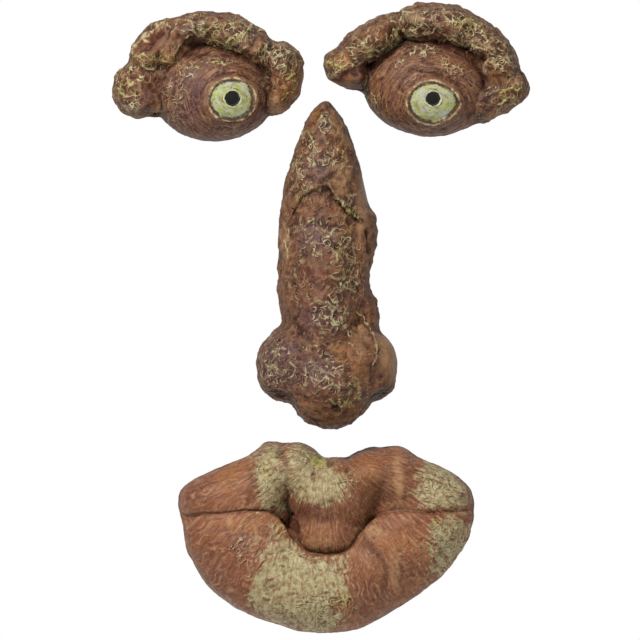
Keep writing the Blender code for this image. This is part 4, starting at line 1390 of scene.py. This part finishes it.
class Painter:
    """Adds nodes to one material's tree and hands back their output sockets."""

    def __init__(self, name):
        self.material = bpy.data.materials.new(name)
        self.material.use_nodes = True
        self.tree = self.material.node_tree
        self.shader = self.tree.nodes["Principled BSDF"]
        self.object = self.node("ShaderNodeTexCoord").outputs["Object"]

    def node(self, kind, **settings):
        """A new node with the given settings."""
        made = self.tree.nodes.new(kind)
        for setting, value in settings.items():
            setattr(made, setting, value)
        return made

    def feed(self, socket, value):
        """Put a number, a colour or another node's output into a socket."""
        if isinstance(value, bpy.types.NodeSocket):
            self.tree.links.new(value, socket)
        else:
            socket.default_value = value

    def mark(self, name):
        """One of the mesh's marks, as a number."""
        return self.node("ShaderNodeAttribute", attribute_name=name).outputs["Fac"]

    def math(self, operation, first, second=0.0):
        """One sum of two values, each a number or an output."""
        made = self.node("ShaderNodeMath", operation=operation)
        self.feed(made.inputs[0], first)
        self.feed(made.inputs[1], second)
        return made.outputs[0]

    def rough(self, height, strength, distance):
        """Relief too fine for the mesh, as a bump of the given height."""
        bump = self.node("ShaderNodeBump")
        bump.inputs["Strength"].default_value = strength
        bump.inputs["Distance"].default_value = distance
        self.feed(bump.inputs["Height"], height)
        self.feed(self.shader.inputs["Normal"], bump.outputs["Normal"])

    def times(self, first, second):
        """Product of two values."""
        return self.math("MULTIPLY", first, second)

    def most(self, first, second):
        """The greater of two values."""
        return self.math("MAXIMUM", first, second)

    def band(self, value, start, full, fading, end):
        """Nothing outside start and end, 1 from full to fading, with smooth steps between."""
        return self.times(self.step(value, start, full), self.step(value, end, fading))

    def step(self, value, low, high, to_low=0.0, to_high=1.0):
        """A smooth step between two values, as eased has it for the mesh."""
        made = self.node("ShaderNodeMapRange", interpolation_type="SMOOTHSTEP")
        self.feed(made.inputs["Value"], value)
        for name, limit in (("From Min", low), ("From Max", high), ("To Min", to_low),
                            ("To Max", to_high)):
            made.inputs[name].default_value = limit
        return made.outputs["Result"]

    def noise(self, size, detail=3.0, roughness=0.55, distortion=0.0, vector=None):
        """Noise with blotches of about the given size in metres, in object space or a vector's."""
        made = self.node("ShaderNodeTexNoise")
        self.feed(made.inputs["Vector"], vector or self.object)
        for name, value in (("Scale", 1.0 / size), ("Detail", detail), ("Roughness", roughness),
                            ("Distortion", distortion)):
            made.inputs[name].default_value = value
        return made.outputs["Fac"]

    def moved(self, shift):
        """Object coordinates, so that a pattern comes out lower and further right by the shift."""
        made = self.node("ShaderNodeVectorMath", operation="ADD")
        self.feed(made.inputs[0], self.object)
        made.inputs[1].default_value = (-shift, 0.0, shift)
        return made.outputs[0]

    def curls(self, size, width, shift):
        """Thin curled arcs, where a soft noise passes its middle value and another lets them be."""
        place = self.moved(shift)
        wave = self.noise(size, 0.0, vector=place)
        away = self.math("ABSOLUTE", self.math("SUBTRACT", wave, 0.5))
        kept = self.step(self.noise(0.8 * size, 0.0, vector=place), 0.42, 0.5)
        return self.times(self.step(away, width, 0.3 * width), kept)

    def squiggles(self, shift):
        """Curls of two sizes, whichever is stronger."""
        large = self.curls(4.8 * MM, 0.036, shift)
        return self.most(large, self.curls(3.3 * MM, 0.05, shift))

    def streaks(self, size):
        """Brush strokes: noise along the brush's own directions."""
        brush = self.node("ShaderNodeAttribute", attribute_name="brush").outputs["Vector"]
        return self.noise(size, 2.0, 0.5, vector=brush)

    def mix(self, factor, under, over, blend="MIX"):
        """One colour over another; sockets 6 and 7 are the node's pair of colours."""
        made = self.node("ShaderNodeMix", data_type="RGBA", blend_type=blend)
        self.feed(made.inputs[0], factor)
        self.feed(made.inputs[6], under)
        self.feed(made.inputs[7], over)
        return made.outputs[2]


# %% Colours
BROWN = screen(121, 78, 52)
DEEP_BROWN = screen(90, 54, 38)
ORANGE = screen(160, 106, 60)
PLUM = screen(92, 62, 64)
RED = screen(100, 46, 34)
BEIGE = screen(172, 133, 95)
# Near black: painted shade in cracks and cuts, under the curls and at the iris's edge; also the
# iris's specks and the dark line round its pupil.
DARK_SHADE_AND_MARKINGS = screen(38, 18, 8)
# Soft dark brown: painted shade in coves, on the sides and under overhangs; also the lids' dark
# streaks.
SHADE_AND_STREAK_BROWN = screen(66, 34, 22)
CREAM = screen(208, 197, 150)
YELLOW_GREEN = screen(192, 186, 104)
MOSS = screen(146, 132, 96)
MOSS_LIGHT = screen(182, 172, 130)
LIP_BROWN = screen(141, 90, 62)
LIP_DEEP = screen(126, 78, 56)
LIP_PLUM = screen(108, 70, 62)
LIP_RED = screen(104, 54, 38)
IRIS_PALE = screen(174, 175, 134)
IRIS_YELLOW = screen(162, 168, 92)
IRIS_GREY = screen(176, 176, 156)
PUPIL = screen(12, 13, 12)
PUPIL_RIM = screen(34, 36, 32)
RAW_RESIN = screen(150, 132, 116)
RAW_DARK = screen(122, 106, 92)
print("the studio's light makes the paint", LIGHT_ON_PAINT, "times as light")

# %% [markdown]
# Every piece is painted in the same steps, so each step is one function: the ground with its rubbed
# tints, thick and thin places, painted shade and dry brush together, and the varnish.

# %% Steps of the paint
def painted(name, base, base_deep, plum, red):
    """The factory's paint up to the tints: two grounds, then a broken rub of each tint."""
    paint = Painter(name)
    ground = paint.mix(paint.step(paint.noise(9.0 * MM, 5.0, 0.6), 0.38, 0.6), base_deep, base)
    for tint, colour, strength in (("plum", plum, 0.85), ("orange", ORANGE, 0.75),
                                   ("red", red, 0.75), ("beige", BEIGE, 0.75)):
        rubbed = paint.step(paint.noise(3.0 * MM, 5.0, 0.6, distortion=0.4), 0.3, 0.6, 0.5, 1.0)
        amount = paint.times(paint.mark(tint), rubbed)
        ground = paint.mix(paint.times(amount, strength), ground, colour)
    return paint, ground


def mottled(paint, colour, size, darkest, lightest):
    """Blotches of paint that went on thick or thin, as a multiple of the colour."""
    spread = paint.step(paint.noise(size, 5.0, 0.65), 0.32, 0.68, darkest, lightest)
    grey = paint.node("ShaderNodeCombineXYZ")
    for axis in range(3):
        paint.feed(grey.inputs[axis], spread)
    return paint.mix(1.0, colour, grey.outputs[0], "MULTIPLY")


SIDE_SHADE = 0.7
SHADE_WASH = 0.8
GROOVE_SHADE = 0.75
SHADOW_DROP = 0.6 * MM
VARNISH_SHEEN = 0.08


def finish_paint(paint, colour, brush=1.0, cove_shade=0.75, crease=0.8):
    """Painted shade in hollows and cuts, dry brush on what stands proud, and the relief of both."""
    grain = paint.noise(0.8 * MM, 4.0, 0.7)
    # Painted shade: broad coves, the sides that turn away near the back, and the drawn shade
    # strokes.
    broad = paint.step(paint.mark("cove_shade"), 0.15, 1.0)
    soft = paint.most(paint.times(broad, cove_shade), paint.times(paint.mark("side"), SIDE_SHADE))
    soft = paint.most(soft, paint.times(paint.mark("shade"), SHADE_WASH))
    colour = paint.mix(soft, colour, SHADE_AND_STREAK_BROWN)
    # Painted shade in the fine cracks, scaled by crease, and in cut grooves, slits, pits and
    # nostrils.
    fine = paint.step(paint.mark("hollow"), 0.12, 1.0)
    crack_shade = paint.most(paint.times(fine, crease), paint.times(paint.mark("groove"), GROOVE_SHADE))
    colour = paint.mix(crack_shade, colour, DARK_SHADE_AND_MARKINGS)

    fade = paint.step(paint.noise(4.5 * MM, 2.0), 0.4, 0.56, 0.3, 1.0)
    power = paint.times(fade, paint.mark("dense"))
    shadow = paint.times(paint.squiggles(SHADOW_DROP), paint.step(power, 0.0, 0.4, 0.1, 0.8))
    colour = paint.mix(shadow, colour, DARK_SHADE_AND_MARKINGS)
    curls = paint.squiggles(0.0)
    lines = paint.times(curls, paint.step(power, 0.0, 0.6, 0.25, 0.75))
    ridge = paint.times(paint.mark("ridge"), 0.8)
    proud = paint.times(paint.step(paint.mark("hollow"), -0.3, -0.9), 0.2)
    touched = paint.most(paint.most(ridge, proud), lines)
    lichen = paint.times(paint.mark("lichen"), paint.step(paint.noise(4.0 * MM), 0.3, 0.5))
    strength = paint.step(paint.most(power, ridge), 0.1, 0.6)
    pale = paint.mix(strength, BEIGE, paint.mix(lichen, CREAM, YELLOW_GREEN))
    relief = paint.times(curls, paint.step(power, 0.02, 0.4, 0.1, 1.0))
    relief = paint.math("ADD", paint.times(grain, 0.3), relief)
    return paint.mix(paint.times(touched, brush), colour, pale), relief


def seal(paint, colour, relief):
    """Matt varnish over the paint, with the grain and the finest curls as relief."""
    paint.feed(paint.shader.inputs["Base Color"], colour)
    paint.feed(paint.shader.inputs["Roughness"], paint.step(relief, 0.1, 0.5, 0.55, 0.7))
    paint.shader.inputs["Specular IOR Level"].default_value = VARNISH_SHEEN
    paint.rough(relief, 0.5, 0.4 * MM)
    print(paint.material.name, "nodes", len(paint.tree.nodes))
    return paint.material


# %% Paint of the eyes
def iris_paint(paint, ripple, skipped):
    """Pale iris, brushed and specked, and a black pupil in a pale ring with a dark line."""
    shade = paint.mix(paint.step(paint.noise(3.6 * MM, 4.0), 0.4, 0.6), IRIS_PALE, IRIS_YELLOW)
    clouds = paint.step(paint.noise(5.0 * MM, 4.0, distortion=0.8), 0.48, 0.6)
    shade = paint.mix(clouds, shade, IRIS_GREY)
    shade = paint.mix(paint.step(paint.streaks(3.0 * MM), 0.5, 0.36, 0.0, 0.8), shade, MOSS)
    shade = mottled(paint, shade, 1.0 * MM, 0.85, 1.1)
    specks = paint.step(paint.noise(0.9 * MM, 3.0), 0.6, 0.68)
    shade = paint.mix(paint.times(specks, 0.7), shade, DARK_SHADE_AND_MARKINGS)
    pupil = paint.math("ADD", paint.mark("pupil"), ripple)
    ring = paint.band(pupil, 1.0, 1.08, 1.14, 1.24)
    shade = paint.mix(paint.times(ring, skipped), shade, CREAM)
    line = paint.band(pupil, 1.2, 1.26, 1.3, 1.4)
    shade = paint.mix(paint.times(line, paint.times(skipped, 0.8)), shade, DARK_SHADE_AND_MARKINGS)
    rim = paint.mix(paint.step(pupil, 0.74, 0.94, 0.0, 0.8), PUPIL, PUPIL_RIM)
    return paint.mix(paint.step(pupil, 1.06, 0.98), shade, rim)


def eye_paint(name, plum):
    """Bark paint, then brushed rings and plum on the lids, and the iris with its dark edge: painted
    shade where it sinks under the lid, and a painted highlight on the lid round it.
    """
    paint, colour = painted(name, BROWN, DEEP_BROWN, PLUM, RED)
    colour = mottled(paint, colour, 1.6 * MM, 0.7, 1.18)
    lids = paint.mark("lids")
    blotches = paint.step(paint.noise(7.0 * MM, 3.0), 0.42, 0.6, 0.1, 0.45)
    colour = paint.mix(paint.times(blotches, lids), colour, plum)
    fine = paint.streaks(1.7 * MM)
    dark = paint.times(paint.step(fine, 0.5, 0.38), lids)
    colour = paint.mix(paint.times(dark, 0.95), colour, SHADE_AND_STREAK_BROWN)
    light = paint.times(paint.step(fine, 0.58, 0.68), lids)
    colour = paint.mix(paint.times(light, 0.4), colour, BEIGE)
    lines = paint.times(paint.mark("lines"), paint.step(paint.noise(4.0 * MM), 0.42, 0.6))
    colour = paint.mix(paint.times(lines, 0.5), colour, BEIGE)
    colour, relief = finish_paint(paint, colour, cove_shade=0.65, crease=0.55)

    ripple = paint.step(paint.noise(1.6 * MM, 3.0), 0.3, 0.7, -0.06, 0.06)
    skipped = paint.step(paint.noise(4.5 * MM), 0.42, 0.56, 0.1, 0.9)
    shade = iris_paint(paint, ripple, skipped)
    radius = paint.math("ADD", paint.mark("iris"), paint.times(ripple, 0.4))
    # Painted shade: a broken dark line just inside the iris's edge, where it sinks under the lid.
    thin = paint.step(paint.noise(9.0 * MM), 0.36, 0.5)
    edge = paint.times(paint.step(radius, 0.9, 0.98), thin)
    shade = paint.mix(paint.times(edge, 0.9), shade, DARK_SHADE_AND_MARKINGS)
    # Painted highlight: a broken pale line on the lid's edge round the iris.
    rim_light = paint.times(paint.band(radius, 1.02, 1.05, 1.07, 1.12), skipped)
    colour = paint.mix(paint.times(rim_light, 0.8), colour, CREAM)
    colour = paint.mix(paint.step(paint.mark("iris"), 1.015, 0.985), colour, shade)
    return seal(paint, colour, relief)


def raw_resin():
    """Unpainted resin of the back: grey-brown, with faint clouds and a sanded grain."""
    paint = Painter("raw resin")
    clouds = paint.step(paint.noise(14.0 * MM, 4.0), 0.35, 0.65)
    paint.feed(paint.shader.inputs["Base Color"], paint.mix(clouds, RAW_RESIN, RAW_DARK))
    paint.shader.inputs["Roughness"].default_value = 0.7
    paint.rough(paint.noise(0.6 * MM, 3.0), 0.3, 0.15 * MM)
    return paint.material


RAW = raw_resin()
left_eye.data.materials.append(eye_paint("left eye paint", PLUM))
right_eye.data.materials.append(eye_paint("right eye paint", LIP_PLUM))


# %% Paint of the nose
def nose_paint():
    """The same bark paint, a little darker, with a lighter hand on the dry brush."""
    paint, colour = painted("nose paint", BROWN, DEEP_BROWN, PLUM, RED)
    colour = mottled(paint, colour, 1.8 * MM, 0.7, 1.12)
    colour, relief = finish_paint(paint, colour, brush=0.85, crease=0.5)
    return seal(paint, colour, relief)


nose.data.materials.append(nose_paint())


# %% Paint of the mouth
def mouth_paint():
    """Terracotta lips with patches of moss green that were dabbed and brushed on."""
    paint, colour = painted("mouth paint", LIP_BROWN, LIP_DEEP, LIP_PLUM, LIP_RED)
    brushed = paint.mark("brushed")
    fine = paint.streaks(1.5 * MM)
    colour = paint.mix(paint.step(brushed, 0.45, 0.9, 0.0, 0.3), colour, ORANGE)
    colour = paint.mix(paint.step(fine, 0.54, 0.66, 0.0, 0.45), colour, BEIGE)
    colour = paint.mix(paint.step(fine, 0.48, 0.36, 0.0, 0.6), colour, LIP_RED)
    colour = mottled(paint, colour, 1.8 * MM, 0.9, 1.1)
    green = paint.mix(paint.step(paint.noise(2.6 * MM, 5.0, 0.6), 0.36, 0.62), MOSS, MOSS_LIGHT)
    green = mottled(paint, green, 1.2 * MM, 0.88, 1.08)
    green = paint.mix(paint.step(fine, 0.5, 0.36, 0.0, 0.5), green, MOSS)
    green = paint.mix(paint.step(paint.mark("lichen"), 0.2, 0.9, 0.0, 0.8), green, YELLOW_GREEN)
    thin = paint.step(paint.noise(3.0 * MM, 4.0, 0.6), 0.3, 0.7, -0.3, 0.2)
    worn = paint.math("ADD", paint.mark("moss"), thin)
    worn = paint.math("ADD", worn, paint.step(fine, 0.36, 0.64, -0.4, 0.3))
    colour = paint.mix(paint.step(worn, 0.15, 0.95, 0.0, 0.92), colour, green)
    colour, relief = finish_paint(paint, colour, brush=0.75, cove_shade=0.1, crease=0.3)
    return seal(paint, colour, relief)


mouth.data.materials.append(mouth_paint())
for piece in (left_eye, right_eye, nose, mouth):
    piece.data.materials.append(RAW)

# %% [markdown]
# ## Skins in place of the solids
# Each painted skin stands for its solid and moves with the one body there is.

# %% Rides and replacements
for piece, node, slot in ((left_eye, "left_eye", "eye_resin"),
                          (right_eye, "right_eye", "eye_resin"),
                          (nose, "nose", "nose_resin"),
                          (mouth, "mouth", "lip_resin")):
    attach(piece, "root")
    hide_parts(node)

# %% [markdown]
# ## Studio
# The photograph was taken square on against white, with soft light from the upper left. A long lens
# keeps the view as flat as the photograph's. The floor lies below the picture and only shows in
# other views.

# %% Camera, light and floor
PICTURE_PIXELS = 640.0
PICTURE_WIDTH = PICTURE_PIXELS * PIXEL
PICTURE_MIDDLE = (across(PICTURE_PIXELS / 2.0), up(PICTURE_PIXELS / 2.0))
CAMERA_DISTANCE = 12.0
SENSOR_WIDTH = 36.0
FLOOR_LEVEL = -0.275
FLOOR_RADIUS = 0.9
FLOOR_CORNERS = 128
FLOOR_COLOUR = (0.8, 0.8, 0.78, 1.0)
ROOM_COLOUR = (1.0, 1.0, 1.0, 1.0)
ROOM_LIGHT = 1.0

camera = bpy.data.objects.new("camera", bpy.data.cameras.new("camera"))
camera.location = (PICTURE_MIDDLE[0], -CAMERA_DISTANCE, PICTURE_MIDDLE[1])
camera.rotation_euler = (math.pi / 2.0, 0.0, 0.0)
camera.data.sensor_width = SENSOR_WIDTH
camera.data.lens = SENSOR_WIDTH * CAMERA_DISTANCE / PICTURE_WIDTH
bpy.context.scene.collection.objects.link(camera)
bpy.context.scene.camera = camera


def softbox(name, place, size, power):
    """A square lamp that faces the middle of the face."""
    lamp = bpy.data.lights.new(name, "AREA")
    lamp.size = size
    lamp.energy = power
    holder = bpy.data.objects.new(name, lamp)
    holder.location = place
    aim = np.array([0.0, 0.0, PICTURE_MIDDLE[1]]) - np.array(place)
    flat = math.hypot(aim[0], aim[1])
    holder.rotation_euler = (math.atan2(flat, -aim[2]), 0.0, math.atan2(-aim[0], aim[1]))
    bpy.context.scene.collection.objects.link(holder)


softbox("key", place=(-0.7, -1.3, 1.1), size=0.5, power=95.0)
softbox("fill", place=(1.2, -1.5, 0.2), size=1.0, power=14.0)

world = bpy.data.worlds.new("white room")
world.use_nodes = True
world.node_tree.nodes["Background"].inputs["Color"].default_value = ROOM_COLOUR
world.node_tree.nodes["Background"].inputs["Strength"].default_value = ROOM_LIGHT
bpy.context.scene.world = world
bpy.context.scene.view_settings.view_transform = "Standard"

floor_mesh = bpy.data.meshes.new("floor")
floor_disc = bmesh.new()
bmesh.ops.create_circle(floor_disc, cap_ends=True, segments=FLOOR_CORNERS, radius=FLOOR_RADIUS)
bmesh.ops.translate(floor_disc, verts=floor_disc.verts, vec=(0.0, 0.0, FLOOR_LEVEL))
floor_disc.to_mesh(floor_mesh)
floor_disc.free()
floor = bpy.data.objects.new("floor", floor_mesh)
floor_paint = bpy.data.materials.new("floor paint")
floor_paint.use_nodes = True
floor_shader = floor_paint.node_tree.nodes["Principled BSDF"]
floor_shader.inputs["Base Color"].default_value = FLOOR_COLOUR
floor_shader.inputs["Roughness"].default_value = 0.9
floor_mesh.materials.append(floor_paint)
bpy.context.scene.collection.objects.link(floor)
floor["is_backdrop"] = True
print("camera at", CAMERA_DISTANCE, "m, lens", round(camera.data.lens / 1000.0, 2), "m")

# %% Measure and finish
VISUAL_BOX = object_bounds()
for label, box in (("solids", CAD_BOX), ("visual", VISUAL_BOX)):
    print(label, [round((box[1][axis] - box[0][axis]) / MM, 1) for axis in range(3)], "mm")
